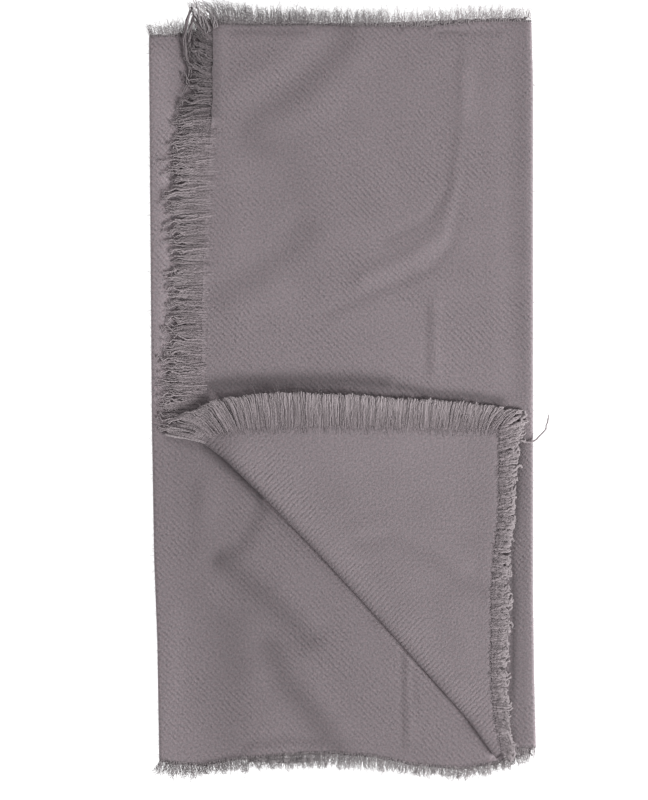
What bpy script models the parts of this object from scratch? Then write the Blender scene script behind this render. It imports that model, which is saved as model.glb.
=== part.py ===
"""A field scarf in grey-mauve woollen twill, frayed on all four sides and folded flat.

The cloth is folded zig-zag into five layers that lie on each other, and the lower left corner
of the uppermost layer is turned back over it. The three hidden layers are one rounded solid
with slits between its layers. Each stretch that shows is a wall of its own, joined to the next
at its half-round fold, and each frayed side is a row of strands on a narrow strip.

Plan measures run from the packet's lower left corner: x to the right, from the fold on the
left to the fold on the right, and y up the packet, across the cloth. All sizes are in metres.
"""

import math
import random
from typing import NamedTuple

import bmesh
import bpy
import numpy as np
from mathutils import Matrix, Vector

# The cloth and the way it lies
WALL = 0.0018  # the thickness of one layer of the twill
LAYER_GAP = 0.0006  # the least air between two layers
SEAM_GAP = 0.0003  # between two pieces that are one cloth
SLIT = 0.0005  # between two hidden layers
LOFT = 0.0012  # how far a visible layer stands off the one below it
FOLD_PUFF = 0.0010  # how much rounder the cloth is along a fold
FOLD_REACH = 0.016  # how far in from a fold that goes on
TAIL = 0.0015  # what lies flat past a half-round before the seam
CORE_TOP = 3 * WALL + 2 * SLIT

# Facets
CORNER_COLUMNS = 17  # along the diagonal fold, shared with the top layer's edge there
CORNER_AT = 8  # the column that ends at the turned corner's point
CORNER_ROWS = 11
TOP_ROWS = 30
SECOND_COLUMNS = 19
SECOND_ROWS = 31
FOLD_STEPS = 5
CORE_SECTIONS = 20

# The hidden layers
CORE_INSET = 0.0018  # how far the hidden folds stay inside the folds that show
CORE_LOWER_Y = 0.0140
CORE_UPPER_Y = 0.6900  # at the left fold
CORE_SLANT = math.radians(2.4)  # of the upper edge, which climbs to the right
NOTCH_DEPTH = 0.012
CUTTER_MARGIN = 0.016  # the end slits stop short of the notches at the folds
FREE_END_INSET = 0.010  # the hidden free end lies this far inside the right fold
FLAT_START = 0.006  # the second stretch lies flat from this far inside the left fold

# Fringe
STRIP_WIDTH = 0.0022
STRAND_HEIGHT = 0.0014
STRAND_CLEAR = 0.0005  # between a strand and what it lies on
WIDE_STRAND = 0.0034  # at its root
NARROW_STRAND = 0.0032
MIDDLE_SHARE = 0.85  # of that width, half way along
TIP_SHARE = 0.40
LOOSE_SHARE = 0.45  # all along a single loose yarn
MIDDLE_DROP = 0.40  # how much of its drop a strand has made half way along
UNEVEN_LENGTH = (-0.10, 0.02)
SWAY = 0.0009
SHORT_DROOP = 0.0016
HIDDEN_FRINGE_ENDS = (0.014, 0.348)  # where the hidden layers' fringe starts and stops, in x

CLOTH_COLOUR = (0.250, 0.212, 0.227)
HIDDEN_COLOUR = (0.205, 0.175, 0.186)
FRINGE_COLOUR = (0.300, 0.262, 0.276)
CLOTH_ROUGHNESS = 0.92


class Place(NamedTuple):
    """A place on an outline."""

    x: float
    y: float


class Crease(NamedTuple):
    """A soft ridge, or a trough where the height is negative, from a start through a bend."""

    start: Place
    bend: Place
    end: Place
    reach: float
    height: float


class Tip(NamedTuple):
    """Where a strand ends whose root is at this place along the edge."""

    root: float
    x: float
    y: float


# The left end of the top layer, downwards
TOP_END = (
    Place(0.0532, 0.7000),
    Place(0.0522, 0.6232),
    Place(0.0465, 0.5377),
    Place(0.0428, 0.4427),
    Place(0.0418, 0.3477),
    Place(0.0455, 0.3165),
)
TOP_UPPER = (
    Place(0.0522, 0.7062),
    Place(0.0950, 0.7049),
    Place(0.1900, 0.7045),
    Place(0.2600, 0.7030),
    Place(0.2950, 0.7060),
    Place(0.3100, 0.7085),
    Place(0.3640, 0.7080),
)
TOP_LOWER_RIGHT = (Place(0.3440, 0.0181), Place(0.3560, 0.0181))
RIGHT_FOLD = (
    Place(0.3667, 0.0095),
    Place(0.3650, 0.0800),
    Place(0.3638, 0.1600),
    Place(0.3638, 0.6500),
    Place(0.3622, 0.7115),
)
LEFT_FOLD = (
    Place(0.0084, 0.0095),
    Place(0.0066, 0.1197),
    Place(0.0036, 0.1957),
    Place(0.0014, 0.3287),
    Place(-0.0014, 0.6992),
)
SECOND_UPPER = (
    Place(0.0000, 0.6940),
    Place(0.0600, 0.6970),
    Place(0.1500, 0.7025),
    Place(0.2700, 0.7080),
    Place(0.3600, 0.7110),
)
SECOND_LOWER = (
    Place(0.0076, 0.0038),
    Place(0.0247, 0.0009),
    Place(0.0418, 0.0000),
    Place(0.0770, 0.0066),
    Place(0.1520, 0.0120),
    Place(0.2099, 0.0085),
    Place(0.2451, 0.0005),
    Place(0.2936, -0.0035),
    Place(0.3221, 0.0015),
    Place(0.3420, 0.0080),
    Place(0.3638, 0.0135),
)
# The diagonal fold, from its upper left end
DIAGONAL = (
    Place(0.0480, 0.3090),
    Place(0.0703, 0.2926),
    Place(0.1102, 0.2536),
    Place(0.1634, 0.1985),
    Place(0.2166, 0.1405),
    Place(0.2755, 0.0745),
    Place(0.3030, 0.0435),
    Place(0.3285, 0.0080),
)
# The two free edges of the turned corner, which meet at its point
CORNER_UPPER = (
    Place(0.0560, 0.3170),
    Place(0.0855, 0.3230),
    Place(0.1425, 0.3240),
    Place(0.2755, 0.3221),
    Place(0.3313, 0.3201),
)
CORNER_SIDE = (
    Place(0.3313, 0.3201),
    Place(0.3313, 0.2337),
    Place(0.3268, 0.2052),
    Place(0.3244, 0.1672),
    Place(0.3234, 0.0840),
    Place(0.3275, 0.0428),
    Place(0.3345, 0.0135),
)
# How high the upper edge of the turned corner stands off the top layer
CORNER_LIFT = (
    Place(0.0560, 0.0012),
    Place(0.1000, 0.0072),
    Place(0.1450, 0.0085),
    Place(0.2000, 0.0066),
    Place(0.2700, 0.0032),
    Place(0.3313, 0.0022),
)
LIFT_REACH = 0.040
# How far the diagonal fold itself stands up
FOLD_LIFT = (
    Place(0.0480, 0.0005),
    Place(0.0600, 0.0035),
    Place(0.0800, 0.0070),
    Place(0.1100, 0.0068),
    Place(0.1450, 0.0045),
    Place(0.2000, 0.0020),
    Place(0.3285, 0.0006),
)
FOLD_LIFT_REACH = 0.026
SIDE_LIFT = 0.0010
SIDE_REACH = 0.022

SECOND_CREASES = (
    Crease(Place(0.088, 0.176), Place(0.116, 0.120), Place(0.137, 0.068), 0.013, -0.0011),
    Crease(Place(0.137, 0.068), Place(0.162, 0.028), Place(0.176, 0.014), 0.013, -0.0009),
    Crease(Place(0.070, 0.170), Place(0.094, 0.112), Place(0.112, 0.060), 0.015, 0.0013),
    Crease(Place(0.086, 0.280), Place(0.096, 0.250), Place(0.108, 0.222), 0.014, 0.0010),
    Crease(Place(0.040, 0.085), Place(0.062, 0.060), Place(0.080, 0.030), 0.022, -0.0009),
    Crease(Place(0.252, 0.100), Place(0.250, 0.060), Place(0.248, 0.020), 0.012, 0.0014),
    Crease(Place(0.160, 0.500), Place(0.200, 0.420), Place(0.230, 0.330), 0.050, 0.0012),
)
TOP_CREASES = (
    Crease(Place(0.292, 0.670), Place(0.283, 0.570), Place(0.272, 0.475), 0.013, 0.0013),
    Crease(Place(0.269, 0.462), Place(0.269, 0.420), Place(0.260, 0.368), 0.013, 0.0011),
    Crease(Place(0.171, 0.700), Place(0.130, 0.655), Place(0.086, 0.612), 0.020, -0.0010),
    Crease(Place(0.143, 0.540), Place(0.110, 0.500), Place(0.076, 0.452), 0.018, 0.0010),
    Crease(Place(0.180, 0.440), Place(0.220, 0.460), Place(0.245, 0.470), 0.024, 0.0008),
    Crease(Place(0.062, 0.690), Place(0.060, 0.650), Place(0.057, 0.615), 0.011, 0.0017),
)
CORNER_CREASES = (
    Crease(Place(0.238, 0.214), Place(0.256, 0.200), Place(0.276, 0.190), 0.018, -0.0008),
    Crease(Place(0.150, 0.290), Place(0.200, 0.250), Place(0.250, 0.240), 0.026, 0.0011),
    Crease(Place(0.290, 0.150), Place(0.296, 0.120), Place(0.300, 0.085), 0.016, 0.0008),
)

TOP_END_TIPS = (
    Tip(0.6990, 0.0400, 0.7180),
    Tip(0.6880, 0.0380, 0.7060),
    Tip(0.6600, 0.0345, 0.6740),
    Tip(0.6400, 0.0320, 0.6450),
    Tip(0.6232, 0.0230, 0.6200),
    Tip(0.5600, 0.0152, 0.5567),
    Tip(0.4900, 0.0190, 0.4902),
    Tip(0.4427, 0.0171, 0.4427),
    Tip(0.3952, 0.0143, 0.3952),
    Tip(0.3400, 0.0104, 0.3392),
    Tip(0.3165, 0.0076, 0.3211),
)
CORNER_UPPER_TIPS = (
    Tip(0.0560, 0.0150, 0.3240),
    Tip(0.0617, 0.0275, 0.3321),
    Tip(0.0690, 0.0437, 0.3391),
    Tip(0.0770, 0.0570, 0.3458),
    Tip(0.0855, 0.0703, 0.3490),
    Tip(0.1025, 0.0969, 0.3524),
    Tip(0.1250, 0.1235, 0.3543),
    Tip(0.1900, 0.1900, 0.3524),
    Tip(0.2375, 0.2404, 0.3486),
    Tip(0.2660, 0.2688, 0.3477),
    Tip(0.2898, 0.2964, 0.3453),
    Tip(0.3088, 0.3173, 0.3425),
    Tip(0.3211, 0.3382, 0.3391),
    Tip(0.3313, 0.3563, 0.3353),
)
CORNER_SIDE_TIPS = (
    Tip(0.3201, 0.3563, 0.3290),
    Tip(0.2900, 0.3524, 0.2954),
    Tip(0.2622, 0.3477, 0.2622),
    Tip(0.2337, 0.3458, 0.2320),
    Tip(0.1815, 0.3411, 0.1790),
    Tip(0.1539, 0.3448, 0.1520),
    Tip(0.1178, 0.3411, 0.1170),
    Tip(0.0770, 0.3401, 0.0760),
    Tip(0.0428, 0.3430, 0.0340),
    Tip(0.0240, 0.3470, 0.0120),
    Tip(0.0135, 0.3430, 0.0010),
)
TOP_UPPER_TIPS = (
    Tip(0.0522, 0.0400, 0.7275),
    Tip(0.0600, 0.0500, 0.7270),
    Tip(0.0712, 0.0660, 0.7258),
    Tip(0.0855, 0.0820, 0.7258),
    Tip(0.1045, 0.1045, 0.7201),
    Tip(0.1900, 0.1900, 0.7185),
    Tip(0.2500, 0.2500, 0.7165),
    Tip(0.2800, 0.2803, 0.7180),
    Tip(0.3100, 0.3108, 0.7215),
    Tip(0.3640, 0.3655, 0.7210),
)
TOP_LOWER_TIPS = (Tip(0.3340, 0.3360, 0.0080), Tip(0.3640, 0.3650, 0.0066))
SECOND_UPPER_TIPS = (
    Tip(-0.0010, -0.0060, 0.7040),
    Tip(0.0200, 0.0190, 0.7080),
    Tip(0.0600, 0.0600, 0.7110),
    Tip(0.1500, 0.1500, 0.7170),
    Tip(0.2700, 0.2700, 0.7220),
    Tip(0.3600, 0.3600, 0.7220),
)
SECOND_LOWER_TIPS = (
    Tip(0.0080, 0.0010, -0.0057),
    Tip(0.0247, 0.0247, -0.0123),
    Tip(0.0598, 0.0598, -0.0090),
    Tip(0.1054, 0.1054, -0.0040),
    Tip(0.1520, 0.1520, -0.0030),
    Tip(0.2175, 0.2175, -0.0040),
    Tip(0.2451, 0.2451, -0.0090),
    Tip(0.2936, 0.2936, -0.0130),
    Tip(0.3221, 0.3240, -0.0085),
    Tip(0.3420, 0.3430, -0.0010),
    Tip(0.3638, 0.3645, 0.0065),
)
HIDDEN_UPPER_TIPS = (Tip(0.0120, 0.0110, 0.7020), Tip(0.3500, 0.3510, 0.7180))
HIDDEN_LOWER_TIPS = (
    Tip(0.0120, 0.0110, 0.0010),
    Tip(0.3000, 0.3005, 0.0010),
    Tip(0.3500, 0.3510, 0.0070),
)
# A single yarn that has come away from the turned corner's point and lies past the right fold
LOOSE_STRAND = ("turned_side_fringe", 0)
LOOSE_YARN = (
    Place(0.3480, 0.3150),
    Place(0.3581, 0.3075),
    Place(0.3667, 0.3092),
    Place(0.3692, 0.3145),
    Place(0.3752, 0.3182),
    Place(0.3762, 0.3249),
    Place(0.3785, 0.3296),
    Place(0.3775, 0.3395),
)


def along(table: tuple, at: float, by: str, want: str) -> float:
    """Read one column of a table at a value of another column."""
    rows = sorted(table, key=lambda row: getattr(row, by))
    return float(np.interp(at, [getattr(r, by) for r in rows], [getattr(r, want) for r in rows]))


def off_line(x: float, y: float, line: tuple) -> float:
    """The plan distance from a point to a line of places."""
    point = Vector((x, y))
    nearest = math.inf
    for first, second in zip(line, line[1:]):
        start = Vector(first)
        step = Vector(second) - start
        share = min(max((point - start).dot(step) / step.length_squared, 0.0), 1.0)
        nearest = min(nearest, (point - start - share * step).length)
    return nearest


def swell(x: float, y: float, creases: tuple) -> float:
    """How far soft creases raise a layer off the one below it."""
    height = LOFT
    for crease in creases:
        away = off_line(x, y, (crease.start, crease.bend, crease.end))
        height += crease.height * math.exp(-((away / crease.reach) ** 2))
    return max(height, 0.0)


def puff(away: float) -> float:
    """The extra roundness beside a fold."""
    return FOLD_PUFF * math.exp(-((away / FOLD_REACH) ** 2))


def second_height(x: float, y: float) -> float:
    """The middle of the second stretch's wall."""
    base = CORE_TOP + LAYER_GAP + WALL / 2
    return base + swell(x, y, SECOND_CREASES) + puff(x - along(LEFT_FOLD, y, "y", "x"))


def top_height(x: float, y: float) -> float:
    """The middle of the top stretch's wall."""
    base = second_height(x, y) + WALL + LAYER_GAP
    return base + swell(x, y, TOP_CREASES) + puff(along(RIGHT_FOLD, y, "y", "x") - x)


def corner_height(x: float, y: float) -> float:
    """The middle of the turned corner's wall, which stands highest along its upper edge."""
    base = top_height(x, y) + WALL + LAYER_GAP + swell(x, y, CORNER_CREASES)
    below_edge = max(along(CORNER_UPPER, x, "x", "y") - y, 0.0)
    inside_edge = max(along(CORNER_SIDE, y, "y", "x") - x, 0.0)
    lift = along(CORNER_LIFT, x, "x", "y") * math.exp(-((below_edge / LIFT_REACH) ** 2))
    side = SIDE_LIFT * math.exp(-((inside_edge / SIDE_REACH) ** 2))
    from_fold = off_line(x, y, DIAGONAL)
    fold = along(FOLD_LIFT, x, "x", "y") * math.exp(-((from_fold / FOLD_LIFT_REACH) ** 2))
    return base + lift + side + fold + puff(from_fold)


def level(height: float):
    """The same height everywhere."""
    return lambda _x, _y: height


def second_top(x: float, y: float) -> float:
    """The upper face of the second stretch."""
    return second_height(x, y) + WALL / 2


def top_top(x: float, y: float) -> float:
    """The upper face of the top stretch."""
    return top_height(x, y) + WALL / 2


def half_round(outer: Vector, inward: Vector, upper: float, lower: float) -> list[Vector]:
    """The middle line of a fold, from its upper end round to the seam below.

    Args:
        outer: the fold's outermost place in plan.
        inward: the direction from there into the cloth.
        upper: the height where the half-round starts.
        lower: the height where it ends.

    Returns:
        The points round the fold and the end of its tail.
    """
    radius = (upper - lower) / 2
    centre = outer + inward * (WALL / 2 + radius)
    points = []
    for step in range(FOLD_STEPS + 1):
        angle = math.pi * step / FOLD_STEPS
        plan = centre - inward * (radius * math.sin(angle))
        points.append(Vector((plan.x, plan.y, (upper + lower) / 2 + radius * math.cos(angle))))
    tail = centre + inward * TAIL
    points.append(Vector((tail.x, tail.y, lower)))
    return points


def spaced(line: tuple, count: int) -> list[Vector]:
    """Places at even distances along a line of places."""
    points = [Vector(place) for place in line]
    lengths = [0.0]
    for first, second in zip(points, points[1:]):
        lengths.append(lengths[-1] + (second - first).length)
    stops = [lengths[-1] * i / (count - 1) for i in range(count)]
    xs = np.interp(stops, lengths, [p.x for p in points])
    ys = np.interp(stops, lengths, [p.y for p in points])
    return [Vector((float(x), float(y))) for x, y in zip(xs, ys)]


def corner_grid() -> list[list[Vector]]:
    """The turned corner: columns that run from its free edges down round the diagonal fold.

    Returns:
        One list of points for each column, from the free edge to the seam with the top layer.
    """
    feet = spaced(DIAGONAL, CORNER_COLUMNS + 1)
    upper = spaced(CORNER_UPPER, CORNER_AT + 1)
    side = spaced(CORNER_SIDE, CORNER_COLUMNS - CORNER_AT + 1)
    columns = []
    for foot, edge in zip(feet, upper + side[1:]):
        inward = (edge - foot).normalized()
        start = foot + inward * (WALL / 2 + FOLD_PUFF)
        heights = (corner_height(start.x, start.y), top_height(start.x, start.y))
        fold = half_round(foot, inward, *heights)
        first = fold[0].to_2d()
        column = []
        for row in range(CORNER_ROWS):
            plan = edge.lerp(first, row / CORNER_ROWS)
            column.append(Vector((plan.x, plan.y, corner_height(plan.x, plan.y))))
        columns.append(column + fold)
    return columns


def top_grid(corner: list[list[Vector]]) -> list[list[Vector]]:
    """The top stretch: columns that run down to the diagonal seam, then the fold on the right.

    Args:
        corner: the turned corner's columns, whose last points are the other side of the seam.

    Returns:
        One list of points for each column, downwards.
    """
    lower = []
    for column in corner:
        seam, before = column[-1].to_2d(), column[-2].to_2d()
        lower.append(seam + (seam - before).normalized() * SEAM_GAP)
    lower += [Vector(place) for place in TOP_LOWER_RIGHT]
    columns = []
    for number, foot in enumerate(lower):
        share = number / len(lower)
        column = []
        for row in range(TOP_ROWS + 1):
            head = along(TOP_UPPER, foot.x, "x", "y")
            y = head + (foot.y - head) * row / TOP_ROWS
            slant = along(TOP_END, y, "y", "x") - TOP_END[-1].x
            x = foot.x + slant * (1 - share)
            column.append(Vector((x, y, top_height(x, y))))
        columns.append(column)
    rows = [fold_row(point, RIGHT_FOLD, -1, top_height, second_height) for point in columns[-1]]
    return columns + [list(column) for column in zip(*rows)]


def fold_row(point: Vector, fold: tuple, inward: int, upper, lower) -> list[Vector]:
    """The points round an upright fold at the height of the packet where a point is.

    Args:
        point: the last point of the flat cloth before the fold.
        fold: the fold's outline.
        inward: 1 where the cloth lies to the right of the fold, -1 where it lies to the left.
        upper: the height of the wall above.
        lower: the height of the wall below.

    Returns:
        The points round the fold and the end of its tail.
    """
    outer = Vector((along(fold, point.y, "y", "x"), point.y))
    start = outer.x + inward * (WALL / 2 + FOLD_PUFF)
    heights = (upper(start, point.y), lower(start, point.y))
    return half_round(outer, Vector((inward, 0)), *heights)


def second_grid(top: list[list[Vector]]) -> list[list[Vector]]:
    """The second stretch: the fold on the left, then columns up to the seam on the right.

    Args:
        top: the top stretch's columns, whose last column is the other side of that seam.

    Returns:
        One list of points for each column, downwards.
    """
    seam = [Place(p.x - SEAM_GAP, p.y) for p in top[-1]]
    first_x = LEFT_FOLD[-1].x + FLAT_START
    columns = []
    for number in range(SECOND_COLUMNS + 1):
        share = number / SECOND_COLUMNS
        column = []
        for row in range(SECOND_ROWS + 1):
            x = first_x + (seam[0].x - first_x) * share
            head = along(SECOND_UPPER, x, "x", "y")
            y = head + (along(SECOND_LOWER, x, "x", "y") - head) * row / SECOND_ROWS
            near = along(LEFT_FOLD, y, "y", "x") + FLAT_START
            x = near + (along(seam, y, "y", "x") - near) * share
            column.append(Vector((x, y, second_height(x, y))))
        columns.append(column)
    below = level(CORE_TOP - WALL / 2)
    rows = [fold_row(point, LEFT_FOLD, 1, second_height, below) for point in columns[0]]
    fold = [list(column) for column in zip(*rows)]
    return fold[::-1] + columns


def new_object(name: str, shape: bmesh.types.BMesh, finish: bpy.types.Material, home):
    """Turn a shape into an object of a collection."""
    bmesh.ops.recalc_face_normals(shape, faces=shape.faces)
    mesh = bpy.data.meshes.new(name)
    shape.to_mesh(mesh)
    shape.free()
    mesh.materials.append(finish)
    piece = bpy.data.objects.new(name, mesh)
    home.objects.link(piece)
    return piece


def cloth_wall(name: str, columns: list[list[Vector]], finish, home) -> bpy.types.Object:
    """One layer of cloth: an open sheet through the columns, thickened evenly to both sides."""
    shape = bmesh.new()
    across, down = len(columns) - 1, len(columns[0]) - 1
    bmesh.ops.create_grid(shape, x_segments=across, y_segments=down, size=0.5)
    for vertex in shape.verts:
        column = round((vertex.co.x + 0.5) * across)
        row = round((0.5 - vertex.co.y) * down)
        vertex.co = columns[column][row]
    piece = new_object(name, shape, finish, home)
    thickness = piece.modifiers.new("Cloth thickness", "SOLIDIFY")
    thickness.thickness = WALL
    thickness.offset = 0
    thickness.use_even_offset = True
    piece.data.shade_smooth()
    return piece


def loft(shape: bmesh.types.BMesh, rings: list[list[Vector]]) -> list[list]:
    """Join rings of points, close both ends, and return the faces of each stretch."""
    loops = [[shape.verts.new(point) for point in ring] for ring in rings]
    stretches = []
    for near, far in zip(loops, loops[1:]):
        stretch = []
        for side in range(len(near)):
            after = (side + 1) % len(near)
            corners = (near[side], near[after], far[after], far[side])
            stretch.append(shape.faces.new(corners))
        stretches.append(stretch)
    shape.faces.new(loops[0])
    shape.faces.new(loops[-1])
    return stretches


def core_ring(y: float, left: float, right: float) -> list[Vector]:
    """A section of the hidden layers: round folds, with a notch between layer and fold."""
    bulge = WALL + SLIT / 2
    low_left = left + bulge
    high_right = right - bulge
    outline = []
    for step in range(FOLD_STEPS + 1):
        angle = math.pi * (0.5 - step / FOLD_STEPS)
        outline.append((low_left - bulge * math.cos(angle), bulge - bulge * math.sin(angle)))
    end_of_third = left - CORE_INSET + WALL + TAIL + 2 * FOLD_PUFF + LAYER_GAP
    outline += [
        (left + NOTCH_DEPTH, 2 * WALL + SLIT),
        (left + NOTCH_DEPTH, 2 * WALL + 2 * SLIT),
        (end_of_third, 2 * WALL + 2 * SLIT),
        (end_of_third, CORE_TOP),
    ]
    for step in range(FOLD_STEPS + 1):
        angle = math.pi * (0.5 - step / FOLD_STEPS)
        x = high_right + bulge * math.cos(angle)
        outline.append((x, CORE_TOP - bulge + bulge * math.sin(angle)))
    outline += [
        (right - NOTCH_DEPTH, WALL + SLIT),
        (right - NOTCH_DEPTH, WALL),
        (right - FREE_END_INSET, WALL),
        (right - FREE_END_INSET, 0.0),
    ]
    outline = outline[::-1]
    slope = math.tan(CORE_SLANT)
    share = (y - CORE_LOWER_Y) / (CORE_UPPER_Y - CORE_LOWER_Y)
    return [Vector((x, y + slope * x * share, z)) for x, z in outline]


def hidden_folds(finish, home, spare) -> bpy.types.Object:
    """The three hidden layers as one solid, slit between the layers at its free sides."""
    rings = []
    for section in range(CORE_SECTIONS + 1):
        y = CORE_LOWER_Y + (CORE_UPPER_Y - CORE_LOWER_Y) * section / CORE_SECTIONS
        left = along(LEFT_FOLD, y, "y", "x") + CORE_INSET
        right = along(RIGHT_FOLD, y, "y", "x") - CORE_INSET
        rings.append(core_ring(y, left, right))
    shape = bmesh.new()
    loft(shape, rings)
    piece = new_object("hidden_folds", shape, finish, home)
    width = RIGHT_FOLD[0].x - LEFT_FOLD[0].x - 2 * CUTTER_MARGIN
    middle = (RIGHT_FOLD[0].x + LEFT_FOLD[0].x) / 2
    upper_y = CORE_UPPER_Y + math.tan(CORE_SLANT) * middle
    for storey, height in (("low", WALL + SLIT / 2), ("high", 2 * WALL + 1.5 * SLIT)):
        for end, y, turn in (("lower", CORE_LOWER_Y, 0.0), ("upper", upper_y, CORE_SLANT)):
            bpy.ops.mesh.primitive_cube_add(size=1, location=(middle, y, height))
            cutter = bpy.context.object
            cutter.name = f"slit_{end}_{storey}"
            cutter.scale = (width, 2 * NOTCH_DEPTH, SLIT)
            cutter.rotation_euler = (0, 0, turn)
            cutter.hide_render = True
            cutter.display_type = "WIRE"
            for owner in list(cutter.users_collection):
                owner.objects.unlink(cutter)
            spare.objects.link(cutter)
            slit = piece.modifiers.new(cutter.name, "BOOLEAN")
            slit.operation = "DIFFERENCE"
            slit.object = cutter
    return piece


class Edge(NamedTuple):
    """A point of a cloth's edge with its directions: outward, and up through the wall."""

    point: Vector
    outward: Vector
    up: Vector


def edge_of(points: list[Vector], inner: list[Vector]) -> list[Edge]:
    """The edge of a wall, worked out from its last two rows of points."""
    edges = []
    last = len(points) - 1
    for number, (point, inside) in enumerate(zip(points, inner)):
        run = (points[min(number + 1, last)] - points[max(number - 1, 0)]).normalized()
        up = run.cross(point - inside).normalized()
        up = up if up.z > 0 else -up
        outward = up.cross(run)
        outward = outward if outward.dot(point - inside) > 0 else -outward
        edges.append(Edge(point, outward.normalized(), up))
    return edges


def upper_edge(columns: list[list[Vector]]) -> list[Edge]:
    """The edge through the first point of each column."""
    return edge_of([column[0] for column in columns], [column[1] for column in columns])


def lower_edge(columns: list[list[Vector]]) -> list[Edge]:
    """The edge through the last point of each column."""
    return edge_of([column[-1] for column in columns], [column[-2] for column in columns])


def at_length(edge: list[Edge], lengths: list[float], length: float) -> Edge:
    """The edge at a length from its start."""
    last = len(lengths) - 2
    number = min(max(int(np.searchsorted(lengths, length)) - 1, 0), last)
    share = (length - lengths[number]) / (lengths[number + 1] - lengths[number])
    near, far = edge[number], edge[number + 1]
    mixed = [a.lerp(b, share) for a, b in zip(near, far)]
    return Edge(mixed[0], mixed[1].normalized(), mixed[2].normalized())


def grow(shape, face, along_edge: Vector, path: list[Vector], widths: list[float]):
    """Draw a strip's face out along a path into one tapered strand of four sides."""
    centre = face.calc_center_median()
    side, up = along_edge, Vector((0, 0, 1))
    for point, width in zip(path, widths):
        step = point - centre
        across = Vector((-step.y, step.x, 0)).normalized()
        across = across if across.dot(side) > 0 else -across
        face = bmesh.ops.extrude_discrete_faces(shape, faces=[face])["faces"][0]
        for vertex in face.verts:
            right = 1 if (vertex.co - centre).dot(side) > 0 else -1
            above = 1 if (vertex.co - centre).dot(up) > 0 else -1
            vertex.co = point + across * (right * width / 2)
            vertex.co.z += above * min(width, STRAND_HEIGHT) / 2
        centre, side = point, across


def fringe(name, edge, count, width, tips, key, rest, seed, finish, home):
    """A frayed side: a narrow strip beside the cloth's edge with strands growing out of it.

    Args:
        name: the node's name.
        edge: the cloth's edge, in order.
        count: how many strands there are.
        width: a strand's width at its root.
        tips: the table of where strands end.
        key: the coordinate that the table's root column holds.
        rest: the height that a strand's tip lies on, from its place in plan.
        seed: for the strands' unevenness.
        finish: the material.
        home: the collection.

    Returns:
        The new object.
    """
    chance = random.Random(seed)
    lengths = [0.0]
    for first, second in zip(edge, edge[1:]):
        lengths.append(lengths[-1] + (second.point - first.point).length)
    sides = []
    for number in range(count):
        middle = lengths[-1] * (number + 0.5) / count
        sides.append((middle - width / 2, middle + width / 2))
    corners = [s for s in lengths if all(abs(s - (a + b) / 2) > width for a, b in sides)]
    stops = sorted([stop for pair in sides for stop in pair] + corners[1:-1])
    stations = [at_length(edge, lengths, stop) for stop in stops]
    rings = []
    for point, outward, up in stations:
        near = point + outward * SEAM_GAP
        far = near + outward * STRIP_WIDTH
        half = up * (STRAND_HEIGHT / 2)
        rings.append([near - half, far - half, far + half, near + half])
    shape = bmesh.new()
    stretches = loft(shape, rings)
    starts = [stops.index(left) for left, right in sides]
    roots = [stretches[start][1] for start in starts]
    for number, face in enumerate(roots):
        centre = face.calc_center_median()
        left, right = stations[starts[number]].point, stations[starts[number] + 1].point
        run = (right - left).normalized()
        at = getattr(left.lerp(right, 0.5), key)
        tip = Vector((along(tips, at, "root", "x"), along(tips, at, "root", "y"), 0))
        reach = (tip - centre).to_2d()
        tip += (reach * chance.uniform(*UNEVEN_LENGTH)).to_3d()
        tip.z = rest(tip.x, tip.y) + STRAND_CLEAR + STRAND_HEIGHT / 4
        sway = Vector((-reach.y, reach.x, 0)).normalized() * chance.uniform(-SWAY, SWAY)
        middle = centre.lerp(tip, 0.5) + sway
        floor = rest(middle.x, middle.y) + STRAND_CLEAR + STRAND_HEIGHT / 2
        middle.z = max(centre.z + (tip.z - centre.z) * MIDDLE_DROP, floor)
        path, widths = [middle, tip], [width * MIDDLE_SHARE, width * TIP_SHARE]
        if (name, number) == LOOSE_STRAND:
            path = [Vector((p.x, p.y, centre.z)) for p in LOOSE_YARN]
            widths = [width * LOOSE_SHARE] * len(path)
        grow(shape, face, run, path, widths)
    return new_object(name, shape, finish, home)


def wool(name: str, colour: tuple) -> bpy.types.Material:
    """Matt wool of one colour."""
    finish = bpy.data.materials.new(name)
    finish.use_nodes = True
    surface = finish.node_tree.nodes["Principled BSDF"]
    surface.inputs["Base Color"].default_value = (*colour, 1.0)
    surface.inputs["Roughness"].default_value = CLOTH_ROUGHNESS
    surface.inputs["Metallic"].default_value = 0.0
    return finish


def hidden_edge(y: float, slant: float, outward: int) -> list[Edge]:
    """The free side of the hidden layers, at the height of the middle one."""
    height = WALL + SLIT + WALL / 2
    edges = []
    for x in HIDDEN_FRINGE_ENDS:
        point = Vector((x, y + math.tan(slant) * x, height))
        normal = Vector((-math.sin(slant), math.cos(slant), 0)) * outward
        edges.append(Edge(point, normal, Vector((0, 0, 1))))
    return edges


def centre_on_floor(pieces: list[bpy.types.Object]):
    """Move all pieces so that the packet's box is centred on the origin and stands on z = 0."""
    bpy.context.view_layer.update()
    corners = []
    for piece in pieces:
        corners += [piece.matrix_world @ Vector(corner) for corner in piece.bound_box]
    low = [min(corner[axis] for corner in corners) for axis in range(3)]
    high = [max(corner[axis] for corner in corners) for axis in range(3)]
    shift = Vector((-(low[0] + high[0]) / 2, -(low[1] + high[1]) / 2, -low[2]))
    for piece in bpy.data.objects:
        piece.matrix_world = Matrix.Translation(shift) @ piece.matrix_world


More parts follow.
